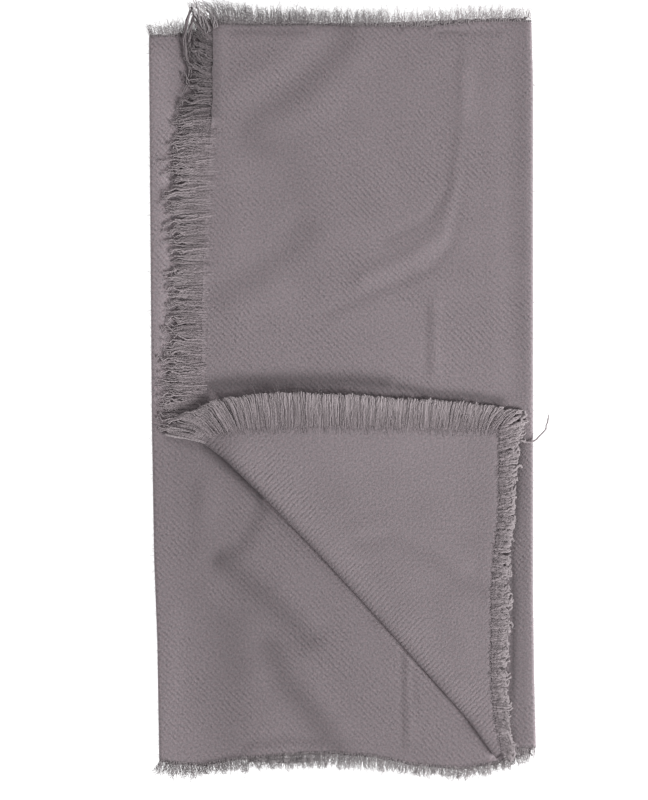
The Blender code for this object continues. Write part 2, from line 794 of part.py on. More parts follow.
def main():
    """Build the scarf."""
    for old in list(bpy.data.objects):
        bpy.data.objects.remove(old)
    home = bpy.data.collections.new("Folded field scarf")
    spare = bpy.data.collections.new("Cutters")
    bpy.context.scene.collection.children.link(home)
    bpy.context.scene.collection.children.link(spare)
    cloth = wool("Grey wool twill", CLOTH_COLOUR)
    hidden = wool("Grey wool twill in shade", HIDDEN_COLOUR)
    frayed = wool("Frayed grey wool", FRINGE_COLOUR)

    corner = corner_grid()
    top = top_grid(corner)
    second = second_grid(top)
    cloth_wall("turned_corner", corner, cloth, home)
    cloth_wall("top_stretch", top, cloth, home)
    cloth_wall("second_stretch", second, cloth, home)
    hidden_folds(hidden, home, spare)

    flat_count = len(corner) + len(TOP_LOWER_RIGHT)
    flat_top = top[:flat_count]
    flat_second = second[FOLD_STEPS + 2 :]
    beside_corner = top[len(corner) : flat_count]
    above_point, beside_point = corner[: CORNER_AT + 1], corner[CORNER_AT:]
    top_end = edge_of(top[0], top[1])
    top_upper = upper_edge(flat_top)
    corner_upper = upper_edge(above_point)
    corner_side = upper_edge(beside_point)
    second_upper = upper_edge(flat_second)
    top_lower = lower_edge(beside_corner)
    second_lower = lower_edge(flat_second)
    hidden_upper = hidden_edge(CORE_UPPER_Y, CORE_SLANT, 1)
    hidden_lower = hidden_edge(CORE_LOWER_Y, 0.0, -1)
    droop = level(CORE_TOP - SHORT_DROOP)
    floor = level(SEAM_GAP)
    narrow, wide = NARROW_STRAND, WIDE_STRAND
    for side in (
        ("end_fringe", top_end, 48, narrow, TOP_END_TIPS, "y", second_top, 3),
        ("turned_end_fringe", corner_upper, 40, narrow, CORNER_UPPER_TIPS, "x", top_top, 5),
        ("turned_side_fringe", corner_side, 36, wide, CORNER_SIDE_TIPS, "y", top_top, 7),
        ("upper_fringe", top_upper, 30, wide, TOP_UPPER_TIPS, "x", second_top, 9),
        ("lower_fringe", top_lower, 2, wide, TOP_LOWER_TIPS, "x", second_top, 11),
        ("second_upper_fringe", second_upper, 24, wide, SECOND_UPPER_TIPS, "x", droop, 13),
        ("second_lower_fringe", second_lower, 28, wide, SECOND_LOWER_TIPS, "x", droop, 15),
        ("hidden_upper_fringe", hidden_upper, 18, wide, HIDDEN_UPPER_TIPS, "x", floor, 17),
        ("hidden_lower_fringe", hidden_lower, 18, wide, HIDDEN_LOWER_TIPS, "x", floor, 19),
    ):
        fringe(*side, frayed, home)
    centre_on_floor(list(home.objects))


if __name__ == "__main__":
    main()
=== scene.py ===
"""A field scarf in grey-mauve woollen twill, frayed on all four sides and folded flat.

The cloth lies zig-zag in five layers, with the lower left corner of the uppermost one turned
back over it. Plan measures run from the packet's lower left corner: x to the right, from the
fold on the left to the fold on the right, and y up the packet, across the cloth. In metres.
"""

import logging
import math
from dataclasses import dataclass, field, replace
from enum import Enum
from typing import Callable, NamedTuple

import bmesh
import bpy
import numpy as np
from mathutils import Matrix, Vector

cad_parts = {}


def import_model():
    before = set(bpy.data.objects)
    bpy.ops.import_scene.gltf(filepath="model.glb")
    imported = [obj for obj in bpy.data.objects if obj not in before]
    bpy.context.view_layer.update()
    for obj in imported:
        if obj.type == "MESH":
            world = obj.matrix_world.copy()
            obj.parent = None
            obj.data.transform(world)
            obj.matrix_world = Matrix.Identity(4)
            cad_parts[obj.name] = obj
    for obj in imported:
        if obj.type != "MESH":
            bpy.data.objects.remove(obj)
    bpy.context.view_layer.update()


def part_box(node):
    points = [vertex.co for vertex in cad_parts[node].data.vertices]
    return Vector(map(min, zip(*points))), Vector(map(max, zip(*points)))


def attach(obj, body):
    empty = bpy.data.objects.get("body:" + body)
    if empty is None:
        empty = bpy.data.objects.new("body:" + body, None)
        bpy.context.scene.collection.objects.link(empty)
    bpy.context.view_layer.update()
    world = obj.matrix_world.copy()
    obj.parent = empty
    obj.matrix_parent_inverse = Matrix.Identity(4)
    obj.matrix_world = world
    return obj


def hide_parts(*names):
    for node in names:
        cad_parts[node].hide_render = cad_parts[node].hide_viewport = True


log = logging.getLogger("field scarf")

Height = Callable[[np.ndarray, np.ndarray], np.ndarray]
Pairs = tuple[tuple[float, float], ...]


class Place(NamedTuple):
    """A place on an outline."""

    x: float
    y: float


class Crease(NamedTuple):
    """A soft ridge, or a trough where the height is negative, along a line of places."""

    line: tuple[Place, ...]
    reach: float
    height: float
    tone: float = 0.0  # painted light along it, or painted shade where negative


class Tip(NamedTuple):
    """Where yarns end whose root is at this place along the edge."""

    root: float
    x: float
    y: float


class Mottle(NamedTuple):
    """Soft, uneven patches."""

    size: float  # of a patch, in metres
    low: float
    high: float
    detail: float = 1.0  # how much finer noise lies on top


class Slot(Enum):
    """The record's material slots."""

    TWILL = "wool_twill"
    FRINGE = "wool_fringe"


class Along(Enum):
    """The plan measure that a side's tips are listed by."""

    X = 0
    Y = 1


class Wool(Enum):
    """The wool that shows along a frayed side."""

    YARN = "whole yarns"
    FLUFF = "single plies and fibres"


def metres(millimetres: float) -> float:
    """Millimetres as metres, to the micrometre."""
    return round(millimetres / 1000, 6)


def in_rows(kind: type, millimetres: tuple[float, ...]) -> tuple:
    """A table from its numbers.

    Args:
        kind: what a row is.
        millimetres: the rows' columns, one row after another.

    Returns:
        The rows, in metres.
    """
    width = len(kind._fields)
    values = [metres(value) for value in millimetres]
    return tuple(kind(*values[start : start + width]) for start in range(0, len(values), width))


def places(*millimetres: float) -> tuple[Place, ...]:
    """Places from their x and y in turn."""
    return in_rows(Place, millimetres)


def tips(*millimetres: float) -> tuple[Tip, ...]:
    """Tips from their root, x and y in turn."""
    return in_rows(Tip, millimetres)


def ridge(reach: float, height: float, tone: float, *line: float) -> Crease:
    """A crease, from its reach, height and line in millimetres, and its tone."""
    return Crease(places(*line), metres(reach), metres(height), tone)


# The cloth and the way it lies
WALL = 0.0018
LAYER_GAP = 0.0006
SLIT = 0.0005
LOFT = 0.0012
FOLD_PUFF = 0.0010
FOLD_REACH = 0.016
TAIL = 0.0015
CORE_TOP = 3 * WALL + 2 * SLIT
CORE_INSET = 0.0018
CORE_LOWER_Y = 0.0140
CORE_UPPER_Y = 0.6900
CORE_SLANT = math.tan(math.radians(2.4))
FREE_END_INSET = 0.010
SECOND_LEFT_X = -0.00125  # the plan place of the second stretch's outermost point
FLAT_START = 0.006  # where the second stretch's flat part starts, from the left fold
FOLD_GUESS = 0.0024  # the radius that a fold is first tried with
RIM_WIDTH = 0.004  # over which the cloth thins towards a free edge
RIM_THICKNESS = 0.40  # at the edge itself, as a share of the wall
TONE_STRENGTH = 1.2  # of the painted light and shade along a crease
TONE_REACH = 1.15  # how much wider the painted light and shade is than the crease
EASE = 0.02  # over what length the corners of most outlines are rounded
FOOT_EASE = 0.015  # of the second stretch's lower edge
LIFT_EASE = 0.03  # of the turned corner's lift
STITCH = (0.00135, 0.00085, 0.0007)  # the size of a locked stitch
SMALL_STITCH = (0.0012, 0.0006, 0.0005)  # and of one on the turned corner
SOFT_NOISE = (0.32, 0.68)  # between what values most of it lies

TOP_END = places(53.2, 700, 52.2, 623.2, 46.5, 537.7, 42.8, 442.7, 41.8, 347.7, 45.5, 316.5)
TOP_UPPER = places(52.2, 706.2, 95, 704.9, 190, 704.5, 260, 703, 295, 706, 310, 708.5, 364, 708)
TOP_LOWER_RIGHT = places(344, 18.1, 356, 18.1)
RIGHT_FOLD = places(366.7, 9.5, 365, 80, 363.8, 160, 363.8, 650, 362.2, 711.5)
LEFT_FOLD = places(8.4, 9.5, 6.6, 119.7, 3.6, 195.7, 1.4, 328.7, -1.4, 699.2)
SECOND_UPPER = places(0, 694, 60, 697, 150, 702.5, 270, 708, 360, 711)
SECOND_LOWER = places(
    7.6, 3.8, 24.7, 0.9, 41.8, 0, 77, 6.6, 152, 12, 209.9, 8.5, 245.1, 0.5, 293.6, -3.5,
    322.1, 1.5, 342, 8, 363.8, 13.5,
)
DIAGONAL = places(
    48, 309, 70.3, 292.6, 110.2, 253.6, 163.4, 198.5, 216.6, 140.5, 275.5, 74.5, 303, 43.5,
    328.5, 8,
)
CORNER_UPPER = places(56, 317, 85.5, 323, 142.5, 324, 275.5, 322.1, 331.3, 320.1)
CORNER_SIDE = places(
    331.3, 320.1, 331.3, 233.7, 326.8, 205.2, 324.4, 167.2, 323.4, 84, 327.5, 42.8, 334.5, 13.5,
)
CORNER_LIFT = places(56, 1.2, 100, 7.2, 145, 8.5, 200, 6.6, 270, 3.2, 331.3, 2.2)
LIFT_REACH = 0.040
FOOT_STEP = 0.0012  # from the diagonal fold to the line of painted light beside it, which softens the shadow below the fold
DIAGONAL_PAINTED_LIGHT = tuple(Place(spot.x - FOOT_STEP, spot.y - FOOT_STEP) for spot in DIAGONAL[2:])
FOLD_LIFT = places(48, 0.5, 60, 3.5, 80, 7, 110, 6.8, 145, 4.5, 200, 2, 328.5, 0.6)
FOLD_LIFT_REACH = 0.026
SIDE_LIFT = 0.0010
SIDE_REACH = 0.022

# The tones here are painted light and shade: paler along the left fold's rim, along the strip by
# that fold, beside the diagonal fold where they soften its shadow, and where the end fringe's tips
# lie; darker along the lower edge's roots, below the upper edge, and along troughs and bands where
# shade falls.
SECOND_CREASES = (
    Crease(LEFT_FOLD, 0.0016, 0.0, 0.850),
    Crease(SECOND_LOWER, 0.0021, 0.0, -0.400),
    Crease(DIAGONAL_PAINTED_LIGHT, 0.0021, 0.0, 0.720),
    ridge(5.2, 0, 0.3, 24, 620, 15.2, 556.7, 19, 490.2, 14.3, 395.2, 11.5, 350),
    Crease(SECOND_UPPER[:3], 0.0016, 0.0, -0.220),
    ridge(10, 0, 0.14, 10, 670, 11, 500, 9, 340),
    ridge(4, 0, -0.12, 18, 312, 50, 302),
    ridge(100, 0, -0.115, 50, 260, 120, 130, 230, 10),
    ridge(8.5, -0.9, -0.105, 104.5, 246.1, 88.4, 214.7, 66.5, 195.7),
    ridge(11, -1.1, -0.135, 66.5, 195.7, 111.2, 157.7, 149.2, 119.7),
    ridge(11, -1.1, -0.15, 111.2, 113.1, 123.5, 81.7, 149.2, 50.4, 173.9, 18.1),
    ridge(15, 1.1, 0.01, 56, 164, 86, 128, 100, 90),
    ridge(12, 0.9, 0.015, 124, 166, 150, 142),
    ridge(13, 1, 0.015, 142, 105, 156, 72, 180, 42),
    ridge(23, -0.5, -0.115, 73, 138, 73, 20),
    ridge(5.5, -1, -0.11, 54, 300, 68, 288, 107, 250),
    ridge(3.5, -0.6, -0.07, 107, 250, 161, 195, 214, 137),
    ridge(12, 1, 0.035, 54, 264, 56, 248),
    ridge(8, -0.5, -0.035, 40, 265, 38, 210),
    ridge(2.6, -0.7, -0.07, 240.4, 107.4, 240.4, 18.1),
    ridge(2.4, -0.5, -0.045, 249.9, 94.1, 249.9, 56.1),
    ridge(3, 0.8, 0.01, 245.2, 102, 245.2, 30),
    ridge(50, 1.2, 0, 160, 500, 200, 420, 230, 330),
    ridge(9, 0.5, 0.02, 20, 70, 23, 150),
    ridge(4.5, 1.2, 0.01, 94, 13, 130, 17.5, 162, 15),
    ridge(4, -0.6, -0.04, 94, 23, 130, 27, 162, 24),
)
# The tones here are painted light and shade: paler along the right fold's rim and along the tips of
# the turned corner's upper fringe; darker below the upper edge, beside the free end, in the band of
# shadow above the turned corner, beside its side fringe, in small dark curls at the top, and along
# troughs and bands where shade falls.
TOP_CREASES = (
    Crease(RIGHT_FOLD, 0.0022, 0.0, 0.420),
    Crease(TOP_UPPER[:3], 0.0022, 0.0, -0.240),
    Crease(TOP_UPPER[2:], 0.0021, 0.0, -0.300),
    ridge(6, 0, -0.11, 74, 702, 140, 701, 190, 700.5),
    ridge(7, 0, -0.44, 56, 704, 57.5, 670, 57, 620),
    ridge(7, 0, -0.39, 52.2, 361, 66.5, 362.9, 85.5, 364.8, 123.5, 366.7, 190, 365.8, 224, 363),
    ridge(4.2, 0, -0.33, 236.5, 360.3, 256.5, 356.3, 275.5, 353.4, 304, 351.5, 332.5, 346.8),
    ridge(2.2, 0, 0.26, 58.9, 350.6, 80.8, 355.3, 104.5, 357.2, 190, 355.8, 223.3, 352.5),
    ridge(3, 0, -0.34, 350.6, 309.7, 348.7, 271.7, 346.8, 233.7, 343, 200.5, 345.8, 157.7,
          343.9, 81.7, 341.1, 43.7, 343.9, 24.7),
    ridge(1, 0, -0.16, 237, 695, 240, 699, 238.5, 703),
    ridge(1, 0, -0.14, 262, 695, 264, 699, 262.5, 702),
    ridge(1.2, 0, -0.2, 272, 695, 285, 696.5, 301, 695.5),
    ridge(13, 0, -0.16, 354, 305, 352, 30),
    ridge(4.2, -0.6, -0.045, 291.7, 689.7, 292.6, 613.7, 282.2, 544.4, 263.2, 518.7, 225.2, 499.7),
    ridge(4.2, -0.6, -0.05, 299, 607.1, 296, 550.1, 285, 493.1, 265.2, 471.2, 213.9, 449.4,
          168.2, 430.4),
    ridge(8, 1.3, 0.01, 295.8, 660, 295.2, 600, 288.5, 544, 278, 506, 250, 485, 200, 462),
    ridge(3.2, -0.6, -0.055, 263.2, 436.1, 263.2, 373.4),
    ridge(5, 0.9, 0.012, 270, 440, 270, 376),
    ridge(13, -1.2, -0.07, 180.5, 689.7, 135.9, 645.1, 97.9, 620.4, 92.2, 601.4),
    ridge(11, -0.6, -0.045, 92.2, 601.4, 106.4, 589),
    ridge(22, -0.7, -0.04, 121, 585, 139.7, 531.1, 142.5, 509.2),
    ridge(12, -0.9, -0.055, 142.5, 509.2, 130.2, 493.1, 95, 471.2, 59.9, 449.4),
    ridge(14, 0.9, 0.01, 156, 702, 114, 664, 78, 640),
    ridge(15, 0.9, 0.015, 199, 675, 162, 630, 132, 612),
    ridge(16, 0.7, 0.02, 74, 565, 86, 530, 78, 500),
    ridge(14, 0.8, 0.01, 118, 456, 86, 434),
    ridge(12, -0.6, -0.05, 350, 700, 347, 530, 351, 360),
    ridge(10, 0.4, 0.01, 330, 690, 328, 530, 330, 370),
    ridge(7, 2.2, 0, 60, 696, 59, 650, 56, 615),
    ridge(3.5, -0.7, -0.06, 78, 697.5, 110, 698.5, 145, 697.5),
    ridge(3.5, 1.4, 0, 70, 704, 110, 704, 150, 703.5),
    ridge(4, 1.2, 0, 273, 703, 301, 705, 330, 706.5),
    ridge(3.5, -0.6, -0.045, 273, 695.5, 301, 696.5, 330, 697.5),
)
# The tones here are painted light and shade: paler along the diagonal fold's rim, darker in a wider
# band about it, over broad areas, and along troughs where shade falls.
CORNER_CREASES = (
    Crease(DIAGONAL[2:], 0.0017, 0.0, 0.440),
    Crease(DIAGONAL, 0.0062, 0.0, -0.140),
    ridge(200, 0, -0.055, 150, 260, 300, 100),
    ridge(7, -0.7, -0.045, 192.9, 211.9, 225.2, 217.6, 256.5, 202.4, 287.9, 179.6, 313.5, 167.2),
    ridge(10, 0.9, 0.012, 199, 226, 229, 231, 264, 215, 296, 193),
    ridge(26, 0.9, 0, 150, 290, 200, 250, 250, 240),
    ridge(16, 0.8, 0, 290, 150, 296, 120, 300, 85),
    ridge(20, -0.3, -0.022, 156, 275, 170, 265),
    ridge(18, -0.4, -0.03, 218, 170, 230, 156),
)

TOP_END_TIPS = tips(
    699, 43, 716, 688, 40, 704, 660, 39.5, 672, 640, 36, 644, 623.2, 24, 620, 560, 15.2, 556.7,
    490, 19, 490.2, 442.7, 17.1, 442.7, 395.2, 14.3, 395.2, 340, 10.4, 339.2, 316.5, 7.6, 321.1,
)
CORNER_UPPER_TIPS = tips(
    56, 15, 324, 61.7, 27.5, 332.1, 69, 43.7, 339.1, 77, 57, 345.8, 85.5, 70.3, 349,
    102.5, 96.9, 352.4, 125, 123.5, 354.3, 190, 190, 352.4, 237.5, 240.4, 348.6, 266, 268.8, 347.7,
    289.8, 296.4, 345.3, 308.8, 317.3, 342.5, 321.1, 338.2, 339.1, 331.3, 356.3, 335.3,
)
CORNER_SIDE_TIPS = tips(
    320.1, 356.3, 329, 290, 352.4, 295.4, 262.2, 347.7, 262.2, 233.7, 345.8, 232,
    181.5, 341.1, 179, 153.9, 344.8, 152, 117.8, 341.1, 117, 77, 340.1, 76, 42.8, 343, 34,
    24, 347, 12, 13.5, 343, 1,
)
TOP_UPPER_TIPS = tips(
    52.2, 40, 727.5, 60, 50, 727, 71.2, 66, 725.8, 85.5, 82, 725.8, 104.5, 104.5, 720.1,
    190, 190, 718.5, 250, 250, 716.5, 280, 280.3, 718, 310, 310.8, 721.5, 364, 365.5, 721,
)
TOP_LOWER_TIPS = tips(334, 336, 8, 364, 365, 6.6)
SECOND_UPPER_TIPS = tips(
    -1, -6, 704, 20, 19, 708, 60, 60, 711, 150, 150, 717, 270, 270, 722, 360, 360, 722,
)
SECOND_LOWER_TIPS = tips(
    8, 1, -5.7, 24.7, 24.7, -12.3, 59.8, 59.8, -9, 105.4, 105.4, -4, 152, 152, -3,
    217.5, 217.5, -4, 245.1, 245.1, -9, 293.6, 293.6, -13, 322.1, 324, -8.5, 342, 343, -1,
    363.8, 364.5, 6.5,
)
HIDDEN_UPPER_TIPS = tips(12, 11, 702, 350, 351, 718)
HIDDEN_LOWER_TIPS = tips(12, 11, 1, 300, 300.5, 1, 350, 351, 7)

LOOSE_YARN = places(
    344, 312, 358.1, 307.2, 366.7, 309.2, 369.2, 314.5, 375.2, 318.2, 376.2, 324.9, 378.5, 329.6,
    377.5, 339.5,
)


def read(table: tuple, at: np.ndarray, by: str, want: str, ease: float = 0.0) -> np.ndarray:
    """Read one column of a table at values of another column.

    Args:
        table: rows with named columns.
        at: the values to look up.
        by: the column that holds such values.
        want: the column to read.
        ease: over what width corners of the table are rounded.

    Returns:
        One value for each of the values given.
    """
    rows = sorted(table, key=lambda row: getattr(row, by))
    known = [getattr(row, by) for row in rows]
    values = [getattr(row, want) for row in rows]
    offsets = (-0.5, -0.25, 0.0, 0.25, 0.5) if ease else (0.0,)
    readings = [np.interp(np.asarray(at) + ease * offset, known, values) for offset in offsets]
    return np.mean(readings, axis=0)


def off_line(x: np.ndarray, y: np.ndarray, line: tuple[Place, ...]) -> np.ndarray:
    """The plan distance from points to a line of places.

    Args:
        x: the points' x.
        y: the points' y.
        line: the places that the line joins.

    Returns:
        One distance for each point.
    """
    nearest = np.full(np.broadcast(x, y).shape, np.inf)
    for start, end in zip(line, line[1:]):
        run, rise = end.x - start.x, end.y - start.y
        share = ((x - start.x) * run + (y - start.y) * rise) / (run * run + rise * rise)
        share = np.clip(share, 0.0, 1.0)
        away = np.hypot(x - start.x - share * run, y - start.y - share * rise)
        nearest = np.minimum(nearest, away)
    return nearest


def swell(x: np.ndarray, y: np.ndarray, creases: tuple[Crease, ...]) -> np.ndarray:
    """How far soft creases raise a layer off the one below it.

    Args:
        x: the points' x.
        y: the points' y.
        creases: the layer's creases.

    Returns:
        One height for each point, never below nought.
    """
    height = np.full(np.broadcast(x, y).shape, LOFT)
    for crease in creases:
        height += crease.height * np.exp(-((off_line(x, y, crease.line) / crease.reach) ** 2))
    return np.maximum(height, 0.0)


def painted_light_and_shade(x: np.ndarray, y: np.ndarray, creases: tuple[Crease, ...]) -> np.ndarray:
    """How much painted light or shade lies along creases.

    Args:
        x: the points' x.
        y: the points' y.
        creases: the layer's creases.

    Returns:
        One value about nought for each point.
    """
    tone = np.zeros(np.broadcast(x, y).shape)
    for crease in creases:
        if crease.tone:
            away = off_line(x, y, crease.line)
            spread = np.exp(-((away / (TONE_REACH * crease.reach)) ** 2))
            tone += TONE_STRENGTH * crease.tone * spread
    return tone


def puff(away: np.ndarray) -> np.ndarray:
    """The extra roundness beside a fold."""
    return FOLD_PUFF * np.exp(-((away / FOLD_REACH) ** 2))


def slack(x: np.ndarray, y: np.ndarray, turn: float) -> np.ndarray:
    """Broad, very low waves that no real cloth is without.

    Args:
        x: the points' x.
        y: the points' y.
        turn: which waves, as every layer has its own.

    Returns:
        One height for each point.
    """
    first = np.sin(47.0 * x + 31.0 * y + turn) * np.sin(23.0 * y - 11.0 * x + 2.1 * turn)
    second = np.sin(89.0 * x - 67.0 * y + 3.0 * turn) * np.sin(41.0 * x + 77.0 * y)
    return 0.00016 * first + 0.00008 * second


def second_height(x: np.ndarray, y: np.ndarray) -> np.ndarray:
    """The middle of the second layer's cloth.

    Args:
        x: the points' x.
        y: the points' y.

    Returns:
        One height for each point.
    """
    base = CORE_TOP + LAYER_GAP + WALL / 2
    fold = read(LEFT_FOLD, y, "y", "x")
    return base + swell(x, y, SECOND_CREASES) + puff(x - fold) + slack(x, y, 0.4)


def top_height(x: np.ndarray, y: np.ndarray) -> np.ndarray:
    """The middle of the top layer's cloth.

    Args:
        x: the points' x.
        y: the points' y.

    Returns:
        One height for each point.
    """
    base = second_height(x, y) + WALL + LAYER_GAP
    fold = read(RIGHT_FOLD, y, "y", "x")
    return base + swell(x, y, TOP_CREASES) + puff(fold - x) + slack(x, y, 2.9)


def corner_height(x: np.ndarray, y: np.ndarray) -> np.ndarray:
    """The middle of the turned corner's cloth, which stands highest along its upper edge.

    Args:
        x: the points' x.
        y: the points' y.

    Returns:
        One height for each point.
    """
    base = top_height(x, y) + WALL + LAYER_GAP + swell(x, y, CORNER_CREASES)
    below_edge = np.maximum(read(CORNER_UPPER, x, "x", "y") - y, 0.0)
    inside_edge = np.maximum(read(CORNER_SIDE, y, "y", "x") - x, 0.0)
    lift = read(CORNER_LIFT, x, "x", "y", LIFT_EASE) * np.exp(-((below_edge / LIFT_REACH) ** 2))
    side = SIDE_LIFT * np.exp(-((inside_edge / SIDE_REACH) ** 2))
    from_fold = off_line(x, y, DIAGONAL)
    fold = read(FOLD_LIFT, x, "x", "y", EASE) * np.exp(-((from_fold / FOLD_LIFT_REACH) ** 2))
    return base + lift + side + fold + puff(from_fold) + slack(x, y, 5.2)


def unit(vectors: np.ndarray) -> np.ndarray:
    """The same directions with a length of one."""
    return vectors / np.maximum(np.linalg.norm(vectors, axis=-1, keepdims=True), 1e-9)


def ragged(at: np.ndarray, size: float, first: float, second: float) -> np.ndarray:
    """The small unevenness of a frayed edge.

    Args:
        at: where along the edge.
        size: how large the unevenness is.
        first: how fast its first wave runs.
        second: how fast its second wave runs.

    Returns:
        One step for each value given.
    """
    return size * np.sin(at * first) * np.sin(at * second)


def spaced(line: tuple[Place, ...], count: int) -> np.ndarray:
    """Places at even distances along a line of places.

    Args:
        line: the places that the line joins.
        count: how many places are wanted.

    Returns:
        One x and y for each.
    """
    points = np.array(line)
    lengths = np.concatenate([[0.0], np.cumsum(np.hypot(*np.diff(points, axis=0).T))])
    stops = np.linspace(0.0, lengths[-1], count)
    return np.stack([np.interp(stops, lengths, points[:, axis]) for axis in (0, 1)], axis=1)


def half_round(
    outer: np.ndarray, inward: np.ndarray, upper: Height, lower: Height, steps: int
) -> np.ndarray:
    """The cloth's middle round a fold, from its upper end to the seam below.

    Args:
        outer: the fold's outermost places in plan.
        inward: the direction from there into the cloth.
        upper: the height of the cloth above.
        lower: the height of the cloth below.
        steps: how many facets the half-round has.

    Returns:
        A row of points for each place.
    """
    start = outer + inward * (WALL / 2 + FOLD_GUESS)
    for _ in range(2):
        top, bottom = upper(*start.T), lower(*start.T)
        radius = (top - bottom) / 2
        start = outer + inward * (WALL / 2 + radius)[:, None]
    angles = np.pi * np.arange(steps + 1) / steps
    plan = start[:, None] - inward[:, None] * (radius[:, None] * np.sin(angles))[..., None]
    height = (top + bottom)[:, None] / 2 + radius[:, None] * np.cos(angles)
    bend = np.concatenate([plan, height[..., None]], axis=2)
    tail = np.concatenate([start + inward * TAIL, bottom[:, None]], axis=1)
    return np.concatenate([bend, tail[:, None]], axis=1)


class Wiring:
    """Adds nodes to a tree and joins them."""

    def __init__(self, tree: bpy.types.NodeTree) -> None:
        """Take the tree to work on."""
        self.tree = tree

    def add(self, kind: str, inputs: dict | None = None, **settings: object) -> bpy.types.Node:
        """Add a node.

        Args:
            kind: the node's type.
            inputs: values or sockets for its inputs, by name or number.
            settings: its own settings.

        Returns:
            The node.
        """
        node = self.tree.nodes.new(kind)
        for name, value in settings.items():
            setattr(node, name, value)
        for name, value in (inputs or {}).items():
            self.feed(node.inputs[name], value)
        return node

    def feed(self, socket: bpy.types.NodeSocket, value: object) -> None:
        """Link a socket to an input, or give the input a value."""
        if isinstance(value, bpy.types.NodeSocket):
            self.tree.links.new(value, socket)
        else:
            socket.default_value = value

    def out(
        self, kind: str, inputs: dict | None = None, **settings: object
    ) -> bpy.types.NodeSocket:
        """The first output of a new node."""
        return self.add(kind, inputs, **settings).outputs[0]

    def math(self, operation: str, *values: object, clamp: bool = False) -> bpy.types.NodeSocket:
        """A Math node's result.

        Args:
            operation: what the node does.
            values: its inputs in order.
            clamp: whether the result is kept from nought to one.

        Returns:
            Its output.
        """
        inputs = dict(enumerate(values))
        return self.out("ShaderNodeMath", inputs, operation=operation, use_clamp=clamp)

    def total(self, start: object, *parts: tuple[object, float]) -> bpy.types.NodeSocket:
        """Add up values.

        Args:
            start: the first one.
            parts: the others, each with its weight.

        Returns:
            The sum.
        """
        for value, weight in parts:
            start = self.math("MULTIPLY_ADD", value, weight, start)
        return start

    def vector(self, operation: str, *values: object) -> bpy.types.NodeSocket:
        """A Vector Math node's result.

        Args:
            operation: what the node does.
            values: its inputs in order, the last one the scale where it scales.

        Returns:
            Its output.
        """
        places = (0, "Scale") if operation == "SCALE" else range(len(values))
        inputs = dict(zip(places, values))
        return self.out("ShaderNodeVectorMath", inputs, operation=operation)

    def noise(self, place: object, size: float, detail: float = 1.0) -> bpy.types.NodeSocket:
        """Soft noise about a half.

        Args:
            place: the coordinates.
            size: how large its patches are, in metres.
            detail: how much finer noise lies on top.

        Returns:
            The noise, from nought to one.
        """
        inputs = {"Vector": place, "Scale": 1.0 / size, "Detail": detail, "Roughness": 0.55}
        return self.add("ShaderNodeTexNoise", inputs).outputs["Fac"]

    def trait(self, name: str, output: str = "Fac") -> bpy.types.NodeSocket:
        """What the mesh's attribute of that name says."""
        return self.add("ShaderNodeAttribute", attribute_name=name).outputs[output]

    def spread(self, value: object, low: float, high: float) -> bpy.types.NodeSocket:
        """Map the usual range of soft noise onto low to high.

        Args:
            value: the noise.
            low: what its low values become.
            high: what its high values become.

        Returns:
            The mapped value.
        """
        inputs = {"Value": value, **dict(enumerate((*SOFT_NOISE, low, high), 1))}
        return self.out("ShaderNodeMapRange", inputs)

    def mottle(self, place: object, mottle: Mottle) -> bpy.types.NodeSocket:
        """Patches that range from a low value to a high one."""
        return self.spread(self.noise(place, mottle.size, mottle.detail), mottle.low, mottle.high)

    def times(self, first: object, *others: object) -> bpy.types.NodeSocket:
        """The product of values."""
        for other in others:
            first = self.math("MULTIPLY", first, other)
        return first

    def blend(self, share: object, first: tuple, second: tuple) -> bpy.types.NodeSocket:
        """Mix two colours.

        Args:
            share: how much of the second one.
            first: the colour at nought.
            second: the colour at one.

        Returns:
            The mixed colour.
        """
        inputs = {0: share, 6: (*first, 1.0), 7: (*second, 1.0)}
        return self.add("ShaderNodeMix", inputs, data_type="RGBA").outputs[2]

    def dress(
        self, surface: bpy.types.Node, colour: object, tone: object, height: object, relief: float
    ) -> None:
        """Give a surface its colour and its relief.

        Args:
            surface: the shader.
            colour: the colour.
            tone: what it is multiplied by.
            height: the pattern of the relief.
            relief: how high the pattern stands.
        """
        self.feed(surface.inputs["Base Color"], self.vector("SCALE", colour, tone))
        bump = self.out("ShaderNodeBump", {"Height": height, "Distance": relief})
        self.feed(surface.inputs["Normal"], bump)


@dataclass(frozen=True)
class WoolFinish:
    """What every wool surface has, the same all over it."""

    name: str = "Wool"
    roughness: float = 0.90
    specular: float = 0.5
    sheen: float = 0.0
    sheen_roughness: float = 0.5
    sheen_tint: tuple[float, float, float] = (1.0, 1.0, 1.0)

    def start(self) -> tuple[bpy.types.Material, Wiring, bpy.types.Node]:
        """Start the material.

        Returns:
            The material, the wiring of its nodes, and its shader.
        """
        finish = bpy.data.materials.new(self.name)
        finish.use_nodes = True
        surface = finish.node_tree.nodes["Principled BSDF"]
        for socket, value in (
            ("Roughness", self.roughness),
            ("Specular IOR Level", self.specular),
            ("Sheen Weight", self.sheen),
            ("Sheen Roughness", self.sheen_roughness),
            ("Sheen Tint", (*self.sheen_tint, 1.0)),
        ):
            surface.inputs[socket].default_value = value
        return finish, Wiring(finish.node_tree), surface


